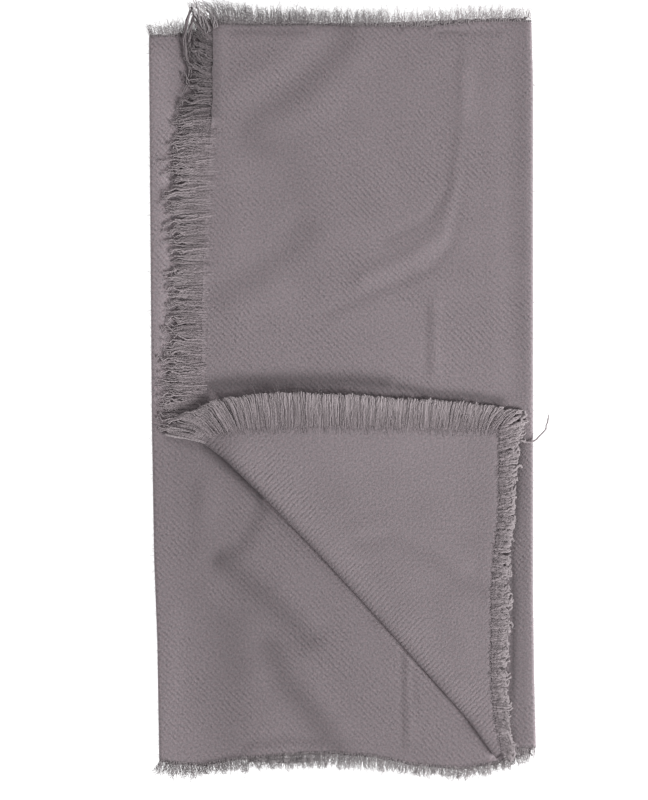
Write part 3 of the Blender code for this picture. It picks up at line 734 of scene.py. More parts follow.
@dataclass(frozen=True)
class TwillFinish(WoolFinish):
    """Woollen twill: slanting ribs of short yarn floats under a soft, mottled nap."""

    name: str = "Grey-mauve woollen twill"
    roughness: float = 0.92
    specular: float = 0.22
    sheen: float = 0.22
    sheen_roughness: float = 0.45
    sheen_tint: tuple[float, float, float] = (0.93, 0.88, 0.91)
    warm: tuple[float, float, float] = (0.268, 0.222, 0.237)
    cool: tuple[float, float, float] = (0.233, 0.209, 0.222)
    rib: float = 0.0040  # from one rib to the next
    float_length: float = 0.0025  # of the yarn on a rib
    wander: Mottle = Mottle(0.034, -0.26, 0.26)  # how far ribs stray, in ribs
    tremble: Mottle = Mottle(0.0042, -0.11, 0.11)
    float_stray: float = 2.6  # how much more the floats stray
    float_step: float = 0.37  # how far floats shift from rib to rib
    crispness: Mottle = Mottle(0.075, 0.25, 1.05)
    breaks: Mottle = Mottle(0.0065, 0.35, 1.35)  # where single ribs fade
    flank: float = 0.35  # how much steeper one side of a rib is
    patches: Mottle = Mottle(0.040, -1.0, 1.0, 2.0)
    grain: Mottle = Mottle(0.0021, -1.0, 1.0, 3.0)
    shades: Mottle = Mottle(0.0030, 0.0, 1.0, 3.0)  # from warm to cool
    fibre: float = 0.0013
    rib_tone: float = 0.125
    grain_tone: float = 0.320
    patch_tone: float = 0.040
    float_tone: float = 0.022
    relief: float = 0.00060
    rib_relief: float = 0.26  # shares of the relief
    float_relief: float = 0.10
    grain_relief: float = 0.17
    fibre_relief: float = 0.26

    def make(self) -> bpy.types.Material:
        """Build the material; its pattern follows the cloth's own map, its colour the painted light
        and shade along the cloth's creases.

        Returns:
            The material.
        """
        finish, wire, surface = self.start()
        cloth = wire.out("ShaderNodeUVMap", uv_map="Cloth")
        nap, crisp = wire.trait("tone"), wire.trait("ribs")
        parts = wire.add("ShaderNodeSeparateXYZ", {0: cloth}).outputs
        drift = wire.math(
            "ADD", wire.mottle(cloth, self.wander), wire.mottle(cloth, self.tremble)
        )
        across = wire.math("ADD", parts[0], parts[1])
        along = wire.math("SUBTRACT", parts[0], parts[1])
        rib_turn = wire.times(across, 1.0 / (math.sqrt(2.0) * self.rib))
        rib_turn = wire.math("ADD", rib_turn, drift)
        wave = wire.math("SINE", wire.times(rib_turn, 2.0 * math.pi))
        float_turn = wire.times(along, 1.0 / (math.sqrt(2.0) * self.float_length))
        float_turn = wire.math("ADD", float_turn, wire.times(drift, self.float_stray))
        float_turn = wire.math("ADD", float_turn, wire.times(rib_turn, self.float_step))
        floats = wire.math("SINE", wire.times(float_turn, 2.0 * math.pi))
        strength = wire.times(
            wire.mottle(cloth, self.crispness), wire.mottle(cloth, self.breaks), crisp
        )
        flank = wire.times(wire.math("POWER", wave, 2.0), self.flank)
        ribs = wire.times(wire.math("SUBTRACT", wave, flank), strength)
        floats = wire.times(floats, strength)
        fibres = wire.noise(cloth, self.fibre, 2.0)
        grain = wire.mottle(cloth, self.grain)
        tone = wire.total(
            1.0,
            (ribs, self.rib_tone),
            (grain, self.grain_tone / 2),
            (wire.spread(fibres, -1.0, 1.0), self.grain_tone / 3),
            (wire.mottle(cloth, self.patches), self.patch_tone / 2),
            (floats, self.float_tone),
        )
        # painted light and shade from the cloth's tone
        tone = wire.times(tone, wire.math("ADD", nap, 1.0))
        elsewhere = wire.vector("ADD", cloth, (0.7, 5.3, 0.0))
        colour = wire.blend(wire.mottle(elsewhere, self.shades), self.warm, self.cool)
        height = wire.total(
            0.0,
            (ribs, self.rib_relief),
            (floats, self.float_relief),
            (grain, self.grain_relief),
            (fibres, self.fibre_relief),
        )
        wire.dress(surface, colour, tone, height, self.relief)
        return finish


@dataclass(frozen=True)
class YarnFinish(WoolFinish):
    """Frayed wool yarn: darker at its roots, painted shade where the yarns crowd, and each yarn its
    own shade.
    """

    name: str = "Frayed grey-mauve wool"
    specular: float = 0.2
    sheen: float = 0.30
    sheen_tint: tuple[float, float, float] = (0.95, 0.91, 0.93)
    # the root's darker colour is painted shade where the yarns crowd
    root: tuple[float, float, float] = (0.300, 0.258, 0.273)
    tip: tuple[float, float, float] = (0.380, 0.338, 0.350)
    ply: float = 0.0034  # along the yarn, from one turn of its twist to the next
    fibre: float = 0.0008
    base_tone: float = 0.92
    shade_tone: float = 0.16  # from one yarn to another
    fibre_tone: float = 0.07
    twist_tone: float = 0.05
    relief: float = 0.0002
    twist_relief: float = 0.5  # as a share of the fibres' relief

    def make(self) -> bpy.types.Material:
        """Build the material; it reads where on its yarn a point lies, and the yarn's shade.

        Returns:
            The material.
        """
        finish, wire, surface = self.start()
        around = wire.add("ShaderNodeSeparateXYZ", {0: wire.trait("around", "Vector")}).outputs
        place = wire.add("ShaderNodeTexCoord").outputs["Object"]
        fibres = wire.noise(place, self.fibre, 2.0)
        turn = wire.times(wire.trait("travel"), 2.0 * math.pi / self.ply)
        twist = wire.times(wire.math("SINE", turn), around[0])
        twist = wire.math("MULTIPLY_ADD", wire.math("COSINE", turn), around[1], twist)
        shade = wire.total(self.base_tone, (wire.trait("shade"), self.shade_tone))
        tone = wire.total(
            # less the painted shade that each yarn carries
            wire.math("SUBTRACT", shade, wire.trait("dim")),
            (wire.spread(fibres, -1.0, 1.0), self.fibre_tone),
            (twist, self.twist_tone),
        )
        colour = wire.blend(wire.trait("share"), self.root, self.tip)
        height = wire.total(fibres, (twist, self.twist_relief))
        wire.dress(surface, colour, tone, height, self.relief)
        return finish


@dataclass(frozen=True)
class StitchAndRootShadeFinish(WoolFinish):
    """The darker thread of the locked line along a frayed side; its darkness is partly painted
    shade along the fringe's roots.
    """

    name: str = "Darker grey wool thread"
    # painted shade: the thread is darker than the wool to stand for the shadow at the fringe's
    # roots
    colour: tuple[float, float, float] = (0.070, 0.058, 0.064)
    tones: Mottle = Mottle(0.0015, 0.75, 1.3, 2.0)

    def make(self) -> bpy.types.Material:
        """Build the material.

        Returns:
            The material.
        """
        finish, wire, surface = self.start()
        place = wire.add("ShaderNodeTexCoord").outputs["Object"]
        colour = wire.vector("SCALE", self.colour, wire.mottle(place, self.tones))
        wire.feed(surface.inputs["Base Color"], colour)
        return finish


class Edge:
    """A cloth's edge as points, with its directions outward and up through the cloth."""

    def __init__(self, points: np.ndarray, inner: np.ndarray) -> None:
        """Work the directions out from a cloth's last two rows of points.

        Args:
            points: the row along the edge.
            inner: the row beside it.
        """
        run = unit(np.gradient(points, axis=0))
        up = unit(np.cross(run, points - inner))
        up = np.where(up[:, 2:] > 0, up, -up)
        outward = np.cross(up, run)
        facing = np.sum(outward * (points - inner), axis=1, keepdims=True)
        self.points = points
        self.inner = inner
        self.outward = unit(np.where(facing > 0, outward, -outward))
        self.up = up
        steps = np.linalg.norm(np.diff(points, axis=0), axis=1)
        self.lengths = np.concatenate([[0.0], np.cumsum(steps)])

    def until(self, x: float) -> "Edge":
        """The part of the edge left of an x."""
        kept = self.points[:, 0] < x
        return Edge(self.points[kept], self.inner[kept])

    def at(self, stops: np.ndarray) -> tuple[np.ndarray, np.ndarray, np.ndarray]:
        """The edge at lengths from its start.

        Args:
            stops: the lengths.

        Returns:
            The points there, and the directions outward and up.
        """
        found = []
        for rows in (self.points, self.outward, self.up):
            columns = [np.interp(stops, self.lengths, rows[:, axis]) for axis in range(3)]
            found.append(np.stack(columns, axis=1))
        return found[0], unit(found[1]), unit(found[2])


class Cloth:
    """A stretch of cloth: a closed shell about a grid of points that runs through its middle."""

    def __init__(
        self,
        middle: np.ndarray,
        chart: np.ndarray,
        thickness: np.ndarray,
        tone: np.ndarray | float = 0.0,
        ribs: np.ndarray | float = 1.0,
    ) -> None:
        """Take the cloth's measures.

        Args:
            middle: the grid of points.
            chart: its place in the flat cloth.
            thickness: how thick the cloth is at each point.
            tone: painted light there, or painted shade where negative.
            ribs: how crisp the ribs are there.
        """
        self.middle = middle
        self.chart = chart
        self.thickness = thickness
        self.nap = {"tone": tone, "ribs": ribs}

    def mesh(self, name: str, shift: np.ndarray, flip_under: bool) -> bpy.types.Mesh:
        """Build the shell with its map.

        Args:
            name: the mesh's name.
            shift: from plan measures to the frame.
            flip_under: whether it is the under side on which the ribs slant the other way.

        Returns:
            The mesh.
        """
        across, down = self.middle.shape[:2]
        along = np.gradient(self.middle, axis=0)
        normal = unit(np.cross(np.gradient(self.middle, axis=1), along))
        if np.sum(normal[..., 2] * (self.thickness > 0)) < 0:
            normal = -normal
        offset = normal * (self.thickness / 2)[..., None]
        points = np.concatenate([self.middle + offset, self.middle - offset]).reshape(-1, 3) + shift
        number = np.arange(across * down).reshape(across, down)
        under = number + across * down
        quads = [self.quads(number), self.quads(under)[:, ::-1]]
        rims = (
            (number[:, 0], under[:, 0]),
            (number[-1, :], under[-1, :]),
            (number[::-1, -1], under[::-1, -1]),
            (number[0, ::-1], under[0, ::-1]),
        )
        for upper, lower in rims:
            quads.append(np.stack([upper[1:], upper[:-1], lower[:-1], lower[1:]], axis=1))
        faces = np.concatenate(quads)
        mesh = bpy.data.meshes.new(name)
        mesh.from_pydata(points.tolist(), [], faces.tolist())
        mirrored = self.chart * np.array([-1.0, 1.0])
        sides = (self.chart, mirrored) if flip_under else (mirrored, self.chart)
        chart = np.concatenate([side.reshape(-1, 2) for side in sides])
        corners = np.empty(len(mesh.loops), dtype=np.int32)
        mesh.loops.foreach_get("vertex_index", corners)
        layer = mesh.uv_layers.new(name="Cloth")
        layer.data.foreach_set("uv", chart[corners].astype(np.float32).ravel())
        # the tone carries the painted light and shade; the ribs, how crisp they are
        for trait, nap in self.nap.items():
            values = np.broadcast_to(nap, (across, down)).ravel().astype(np.float32)
            kept = mesh.attributes.new(trait, "FLOAT", "POINT")
            kept.data.foreach_set("value", np.concatenate([values, values]))
        mesh.shade_smooth()
        mesh.update()
        return mesh

    @staticmethod
    def quads(number: np.ndarray) -> np.ndarray:
        """The four-sided faces of a grid of point numbers."""
        corners = (number[:-1, :-1], number[1:, :-1], number[1:, 1:], number[:-1, 1:])
        return np.stack([corner.ravel() for corner in corners], axis=1)[:, ::-1]


def thinned(*distances: np.ndarray) -> np.ndarray:
    """The cloth's thickness, which thins towards its free edges.

    Args:
        distances: how far each point is from each free edge.

    Returns:
        The thickness at each point.
    """
    share = np.clip(np.minimum.reduce(distances) / RIM_WIDTH, 0.0, 1.0)
    rise = share * share * (3.0 - 2.0 * share)
    return WALL * (RIM_THICKNESS + (1.0 - RIM_THICKNESS) * rise)


def place_piece(mesh: bpy.types.Mesh, finish: bpy.types.Material) -> bpy.types.Object:
    """Make a finished mesh a piece of the scarf.

    Args:
        mesh: the mesh, in the frame.
        finish: its material.

    Returns:
        The piece.
    """
    if finish.name not in mesh.materials:
        mesh.materials.clear()
        mesh.materials.append(finish)
    piece = bpy.data.objects.new(mesh.name, mesh)
    bpy.context.scene.collection.objects.link(piece)
    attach(piece, "root")
    log.info("%s: %d faces", piece.name, len(mesh.polygons))
    return piece


@dataclass
class Layer:
    """A stretch of the cloth, with what it is called and how large it is when cut."""

    name: str = ""
    node: str = ""
    flat: tuple[float, float] = (0.0, 0.0)
    area: float = 0.0
    flip_under: bool = True  # whether it is the under side on which the ribs slant the other way
    cloth: Cloth | None = None
    piece: bpy.types.Object | None = None
    trims: list[bpy.types.Object] = field(default_factory=list)  # its frayed sides and stitches

    def build(self, finish: bpy.types.Material, shift: np.ndarray) -> None:
        """Make the cloth a piece.

        Args:
            finish: its material.
            shift: from plan measures to the frame.
        """
        mesh = self.cloth.mesh(self.name, shift, self.flip_under)
        self.piece = place_piece(mesh, finish)
        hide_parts(self.node)

    def edge(self, columns: slice, last: bool = False) -> Edge:
        """The edge along the first or the last row of the cloth's points."""
        edge, inner = (-1, -2) if last else (0, 1)
        return Edge(self.cloth.middle[columns, edge], self.cloth.middle[columns, inner])

    def fold_edge(self, column: int, inward: float) -> Edge:
        """The outermost line of a fold, with the step from there into the cloth."""
        outer = self.cloth.middle[column]
        return Edge(outer, outer + np.array([inward, 0.0, 0.0]))


@dataclass
class TurnedCorner(Layer):
    """The lower left corner of the top layer, turned back over it along the diagonal fold."""

    name: str = "turned_corner_cloth"
    node: str = "turned_corner"
    flat: tuple[float, float] = (0.29, 0.31)
    area: float = 0.0465
    flip_under: bool = False
    steps_to_point: int = 72  # columns from the fold's upper end to the corner's point
    steps_from_point: int = 81
    rows: int = 60
    fold_steps: int = 10
    rib_reach: float = 0.045  # how far from the fold the ribs stay crisp

    def shape(self) -> None:
        """Lay columns from the corner's free edges down to and round the diagonal fold."""
        total = self.steps_to_point + self.steps_from_point
        feet = spaced(DIAGONAL, total + 1)
        upper = spaced(CORNER_UPPER, self.steps_to_point + 1)
        side = spaced(CORNER_SIDE, self.steps_from_point + 1)
        edge = np.concatenate([upper, side[1:]])
        edge[:, 1] += ragged(edge[:, 0], 0.0005, 310.0, 97.0)
        edge[:, 0] += ragged(edge[:, 1], 0.0005, 290.0, 71.0)
        inward = unit(edge - feet)
        fold = half_round(feet, inward, corner_height, top_height, self.fold_steps)
        share = (np.arange(self.rows) / self.rows)[None, :, None]
        plan = edge[:, None] * (1.0 - share) + fold[:, :1, :2] * share
        height = corner_height(plan[..., 0], plan[..., 1])
        flat = np.concatenate([plan, height[..., None]], axis=2)
        middle = np.concatenate([flat, fold], axis=1)
        steps = np.linalg.norm(np.diff(middle[:, self.rows - 1 :], axis=1), axis=2)
        reach = np.cumsum(steps, axis=1)
        round_fold = plan[:, -1][:, None] - inward[:, None] * reach[..., None]
        chart = np.concatenate([plan, round_fold], axis=1)
        x, y = middle[..., 0], middle[..., 1]
        from_upper = read(CORNER_UPPER, x, "x", "y") - y
        thickness = thinned(from_upper, read(CORNER_SIDE, y, "y", "x") - x)
        thickness[:, self.rows :] = WALL
        ribs = 0.18 + 0.80 * np.exp(-((off_line(x, y, DIAGONAL) / self.rib_reach) ** 2))
        self.cloth = Cloth(middle, chart, thickness, painted_light_and_shade(x, y, CORNER_CREASES), ribs)

    def upper_edge(self) -> Edge:
        """The edge along the top of the corner."""
        return self.edge(slice(self.steps_to_point + 1))

    def side_edge(self) -> Edge:
        """The edge down the right side of the corner."""
        return self.edge(slice(self.steps_to_point, None))


@dataclass
class TopLayer(Layer):
    """The uppermost layer, from its free end on the left to the seam past the fold on the right."""

    name: str = "top_cloth"
    node: str = "top_stretch"
    flat: tuple[float, float] = (0.33, 0.69)
    area: float = 0.176
    rows: int = 226
    right_columns: int = 8  # past the diagonal seam
    fold_steps: int = 12
    columns: int = 0  # how many come before the fold, which its shape tells

    def shape(self, corner: Cloth) -> None:
        """Lay columns down to the diagonal seam, then the fold on the right.

        Args:
            corner: the turned corner's cloth, whose last points are the other side of the seam.
        """
        seam = corner.middle[::2, -1, :2]
        stretch = spaced((Place(*seam[-1]), *TOP_LOWER_RIGHT), self.right_columns)
        feet = np.concatenate([seam, stretch[1:]])
        share = np.arange(len(feet))[:, None] / len(feet)
        down = np.arange(self.rows + 1)[None] / self.rows
        head = read(TOP_UPPER, feet[:, :1], "x", "y", EASE)
        head = head + ragged(feet[:, :1], 0.0006, 310.0, 127.0)
        y = head + (feet[:, 1:] - head) * down
        slant = read(TOP_END, y, "y", "x", EASE) - TOP_END[-1].x
        x = feet[:, :1] + slant * (1.0 - share)
        x += ragged(y, 0.0006, 260.0, 83.0) * (1.0 - share) ** 8
        flat = np.stack([x, y, top_height(x, y)], axis=2)
        last_y = y[-1]
        outer = np.stack([read(RIGHT_FOLD, last_y, "y", "x", EASE), last_y], axis=1)
        inward = np.tile((-1.0, 0.0), (len(last_y), 1))
        fold = half_round(outer, inward, top_height, second_height, self.fold_steps)
        middle = np.concatenate([flat, fold.transpose(1, 0, 2)])
        self.columns = len(feet)
        steps = np.linalg.norm(np.diff(middle[self.columns - 1 :], axis=0), axis=2)
        round_fold = x[-1] + np.cumsum(steps, axis=0)
        chart = np.stack([np.concatenate([x, round_fold]), middle[..., 1]], axis=2)
        from_end = middle[..., 0] - read(TOP_END, middle[..., 1], "y", "x")
        from_end[self.columns :] = 1.0
        from_top = np.broadcast_to(middle[:, :1, 1], middle.shape[:2]) - middle[..., 1]
        tone = painted_light_and_shade(middle[..., 0], middle[..., 1], TOP_CREASES)
        self.cloth = Cloth(middle, chart, thinned(from_end, from_top), tone)

    def end_edge(self) -> Edge:
        """The free end on the left."""
        return Edge(self.cloth.middle[0], self.cloth.middle[1])

    def right_fold(self) -> Edge:
        """The outermost line of the fold on the right."""
        return self.fold_edge(self.columns + self.fold_steps // 2, -0.001)

    def upper_edge(self) -> Edge:
        """The edge along the top, up to the outermost line of the fold."""
        return self.edge(slice(self.columns + self.fold_steps // 2))

    def lower_edge(self) -> Edge:
        """The short stretch of the lower edge that shows beside the turned corner."""
        stop = self.columns + 1 + self.fold_steps // 2
        return self.edge(slice(self.columns - self.right_columns + 1, stop), last=True)


@dataclass
class SecondLayer(Layer):
    """The layer below, from the seam under the fold on the left to the seam on the right."""

    name: str = "second_cloth"
    node: str = "second_stretch"
    flat: tuple[float, float] = (0.37, 0.70)
    area: float = 0.255
    columns: int = 104
    rows: int = 204
    fold_steps: int = 12

    def shape(self, top: Cloth) -> None:
        """Lay the fold on the left, then columns up to the seam on the right.

        Args:
            top: the top layer's cloth, whose last column is the other side of that seam.
        """
        seam_y = top.middle[-1, ::-1, 1]
        seam_x = top.middle[-1, ::-1, 0]
        share = np.arange(self.columns + 1)[:, None] / self.columns
        down = np.arange(self.rows + 1)[None] / self.rows
        x = FLAT_START + (seam_x[-1] - FLAT_START) * share
        head = read(SECOND_UPPER, x, "x", "y", EASE)
        foot = read(SECOND_LOWER, x, "x", "y", FOOT_EASE)
        foot = foot + ragged(x, 0.0005, 330.0, 107.0)
        y = head + (foot - head) * down
        near = read(LEFT_FOLD, y, "y", "x", EASE) + FLAT_START
        x = near + (np.interp(y, seam_y, seam_x) - near) * share
        flat = np.stack([x, y, second_height(x, y)], axis=2)
        outer = np.stack([read(LEFT_FOLD, y[0], "y", "x", EASE), y[0]], axis=1)
        inward = np.tile((1.0, 0.0), (len(y[0]), 1))
        under = level(CORE_TOP - WALL / 2)
        fold = half_round(outer, inward, second_height, under, self.fold_steps)
        fold = fold.transpose(1, 0, 2)[::-1]
        middle = np.concatenate([fold, flat])
        steps = np.linalg.norm(np.diff(middle[: len(fold) + 1], axis=0), axis=2)
        round_fold = x[0] - np.cumsum(steps[::-1], axis=0)[::-1]
        chart = np.stack([np.concatenate([round_fold, x]), middle[..., 1]], axis=2)
        from_top = middle[:, :1, 1] - middle[..., 1]
        from_foot = middle[..., 1] - middle[:, -1:, 1]
        tone = painted_light_and_shade(middle[..., 0], middle[..., 1], SECOND_CREASES)
        self.cloth = Cloth(middle, chart, thinned(from_top, from_foot), tone)

    def upper_edge(self) -> Edge:
        """The edge along the top, from the outermost line of the fold."""
        return self.edge(slice(self.fold_steps // 2 + 2, None))

    def left_fold(self) -> Edge:
        """The outermost line of the fold on the left."""
        return self.fold_edge(self.fold_steps // 2 + 1, 0.001)

    def lower_edge(self) -> Edge:
        """The edge along the bottom, from the outermost line of the fold."""
        return self.edge(slice(self.fold_steps // 2 + 2, None), last=True)


@dataclass
class HiddenLayers(Layer):
    """The three layers below, one run of cloth from the seam on the left to its own free end."""

    name: str = "hidden_cloth"
    node: str = "hidden_folds"
    flat: tuple[float, float] = (1.08, 0.69)
    area: float = 0.735
    rows: int = 84
    columns: int = 36  # in each layer
    fold_steps: int = 8

    def shape(self) -> None:
        """Lay the zig-zag: to the right, back to the left, and to the right again."""
        down = np.linspace(1.0, 0.0, self.rows + 1)
        middle_y = CORE_LOWER_Y + (CORE_UPPER_Y - CORE_LOWER_Y) * down
        left = read(LEFT_FOLD, middle_y, "y", "x", EASE) + CORE_INSET
        right = read(RIGHT_FOLD, middle_y, "y", "x", EASE) - CORE_INSET
        heights = (CORE_TOP - WALL / 2, 1.5 * WALL + SLIT, WALL / 2)
        bulge = WALL + SLIT / 2
        turn = np.linspace(0.0, math.pi, self.fold_steps + 1)[1:-1]
        across = np.linspace(0.0, 1.0, self.columns + 1)[:, None]
        seam = left - CORE_INSET + WALL + TAIL + 2 * FOLD_PUFF + LAYER_GAP
        radius = (WALL + SLIT) / 2
        stretches = (
            (seam, right - bulge, heights[0]),
            (right - bulge, left + bulge, heights[1]),
            (left + bulge, right - FREE_END_INSET, heights[2]),
        )
        xs, zs = [], []
        for number, (start, end, height) in enumerate(stretches):
            xs.append(start + (end - start) * across)
            zs.append(np.full(xs[-1].shape, height))
            if number < 2:
                side = 1.0 if number == 0 else -1.0
                xs.append(end + side * radius * np.sin(turn)[:, None])
                z = (height + heights[number + 1]) / 2 + radius * np.cos(turn)
                zs.append(np.broadcast_to(z[:, None], xs[-1].shape))
        x, z = np.concatenate(xs), np.concatenate(zs)
        steps = np.hypot(np.diff(x, axis=0), np.diff(z, axis=0))
        travel = np.concatenate([np.zeros((1, x.shape[1])), np.cumsum(steps, axis=0)])
        share = down[None]
        stray = 0.0022 * np.sin(travel * 9.0) + 0.0010 * np.sin(travel * 31.0 + 1.0)
        near_edge = (2.0 * share - 1.0) ** 9
        y = middle_y[None] + CORE_SLANT * x * share + stray * near_edge * 0.9
        y = np.maximum(y, CORE_LOWER_Y)
        chart = np.stack([travel, y], axis=2)
        from_end = np.broadcast_to(travel[-1:] - travel, x.shape)
        thickness = thinned(y[:, :1] - y, y - y[:, -1:], from_end)
        self.cloth = Cloth(np.stack([x, y, z], axis=2), chart, thickness)

    def edges(self, last: bool) -> list[Edge]:
        """The layers' edges along the top, or along the bottom.

        Args:
            last: whether it is the edges along the bottom.

        Returns:
            An edge for each layer.
        """
        pitch = self.columns + self.fold_steps
        starts = range(0, 3 * pitch, pitch)
        return [self.edge(slice(start + 2, start + self.columns - 1), last) for start in starts]


class GrowingTree(Wiring):
    """A tree of geometry nodes with named inputs, to be run once on a mesh."""

    KINDS = {int: "Int", float: "Float", tuple: "Vector", bpy.types.Material: "Material"}

    def __init__(self, name: str, values: dict[str, object]) -> None:
        """Start the tree.

        Args:
            name: the tree's name.
            values: its named inputs, and what they get.
        """
        super().__init__(bpy.data.node_groups.new(name, "GeometryNodeTree"))
        self.values = {}
        for way in ("INPUT", "OUTPUT"):
            self.socket("Geometry", way, "Geometry")
        for title, value in values.items():
            self.values[self.socket(title, "INPUT", self.KINDS[type(value)])] = value
        self.given = self.add("NodeGroupInput").outputs

    def socket(self, title: str, way: str, kind: str) -> str:
        """Add a socket to the tree, and tell its identifier."""
        kind = f"NodeSocket{kind}"
        return self.tree.interface.new_socket(title, in_out=way, socket_type=kind).identifier

    def jitter(self, low: float, high: float) -> bpy.types.NodeSocket:
        """A number at random for each point."""
        inputs = {"Seed": self.given["Seed"], 2: low, 3: high}
        return self.add("FunctionNodeRandomValue", inputs, data_type="FLOAT").outputs[1]

    def keep(
        self, shape: object, name: str, value: object, kind: str = "FLOAT"
    ) -> bpy.types.NodeSocket:
        """Store a value with a shape's points.

        Args:
            shape: the shape.
            name: what the value is stored under.
            value: the value.
            kind: what sort of value it is.

        Returns:
            The shape with it.
        """
        inputs = {"Geometry": shape, "Name": name, "Value": value}
        node = "GeometryNodeStoreNamedAttribute"
        return self.out(node, inputs, data_type=kind, domain="POINT")

    def grow(self, base: bpy.types.Mesh, shape: bpy.types.NodeSocket) -> bpy.types.Mesh:
        """End the tree, run it on a mesh, and keep its result as a plain mesh.

        Args:
            base: what the tree starts from, which is used up.
            shape: what the tree has made of it.

        Returns:
            The result, with the base's name.
        """
        shape = self.out("GeometryNodeRealizeInstances", {"Geometry": shape})
        shape = self.out("GeometryNodeSetShadeSmooth", {"Geometry": shape})
        dressed = {"Geometry": shape, "Material": self.given["Wool"]}
        shape = self.out("GeometryNodeSetMaterial", dressed)
        self.add("NodeGroupOutput", {"Geometry": shape})
        carrier = bpy.data.objects.new(base.name, base)
        bpy.context.scene.collection.objects.link(carrier)
        growth = carrier.modifiers.new(self.tree.name, "NODES")
        growth.node_group = self.tree
        for identifier, value in self.values.items():
            growth[identifier] = value
        bpy.context.view_layer.update()
        evaluated = carrier.evaluated_get(bpy.context.evaluated_depsgraph_get())
        result = bpy.data.meshes.new_from_object(evaluated)
        name = base.name
        bpy.data.objects.remove(carrier)
        bpy.data.meshes.remove(base)
        bpy.data.node_groups.remove(self.tree)
        result.name = name
        for trait in ("girth", "crimp", "phase"):
            if trait in result.attributes:
                result.attributes.remove(result.attributes[trait])
        return result


class YarnLines:
    """Open lines, one for each yarn, with what the yarn tree reads from them."""

    def __init__(self) -> None:
        """Start with no yarn."""
        self.points: list[np.ndarray] = []
        self.traits: list[np.ndarray] = []
        self.links: list[np.ndarray] = []
        self.total = 0

    def add(
        self,
        lines: np.ndarray,
        girth: np.ndarray,
        crimp: np.ndarray,
        phase: np.ndarray,
        dim: np.ndarray,
    ) -> None:
        """Add yarns that have equally many points.

        Args:
            lines: the yarns' points.
            girth: how thick each yarn is.
            crimp: how wavy each yarn is, as a share of the usual.
            phase: where in its wave each yarn starts.
            dim: painted shade, how much darker each yarn is than the rest.
        """
        yarns, steps = lines.shape[:2]
        number = self.total + np.arange(yarns * steps).reshape(yarns, steps)
        self.points.append(lines.reshape(-1, 3))
        self.links.append(np.stack([number[:, :-1].ravel(), number[:, 1:].ravel()], axis=1))
        traits = np.stack([girth, crimp, phase, dim], axis=1)
        self.traits.append(np.repeat(traits, steps, axis=0))
        self.total += yarns * steps

    def mesh(self, name: str, shift: np.ndarray) -> bpy.types.Mesh:
        """Build the lines as a mesh of edges.

        Args:
            name: the mesh's name.
            shift: from plan measures to the frame.

        Returns:
            The mesh.
        """
        mesh = bpy.data.meshes.new(name)
        points = np.concatenate(self.points) + shift
        mesh.from_pydata(points.tolist(), np.concatenate(self.links).tolist(), [])
        traits = np.concatenate(self.traits)
        for column, trait in enumerate(("girth", "crimp", "phase", "dim")):
            values = mesh.attributes.new(trait, "FLOAT", "POINT")
            values.data.foreach_set("value", traits[:, column].astype(np.float32))
        return mesh


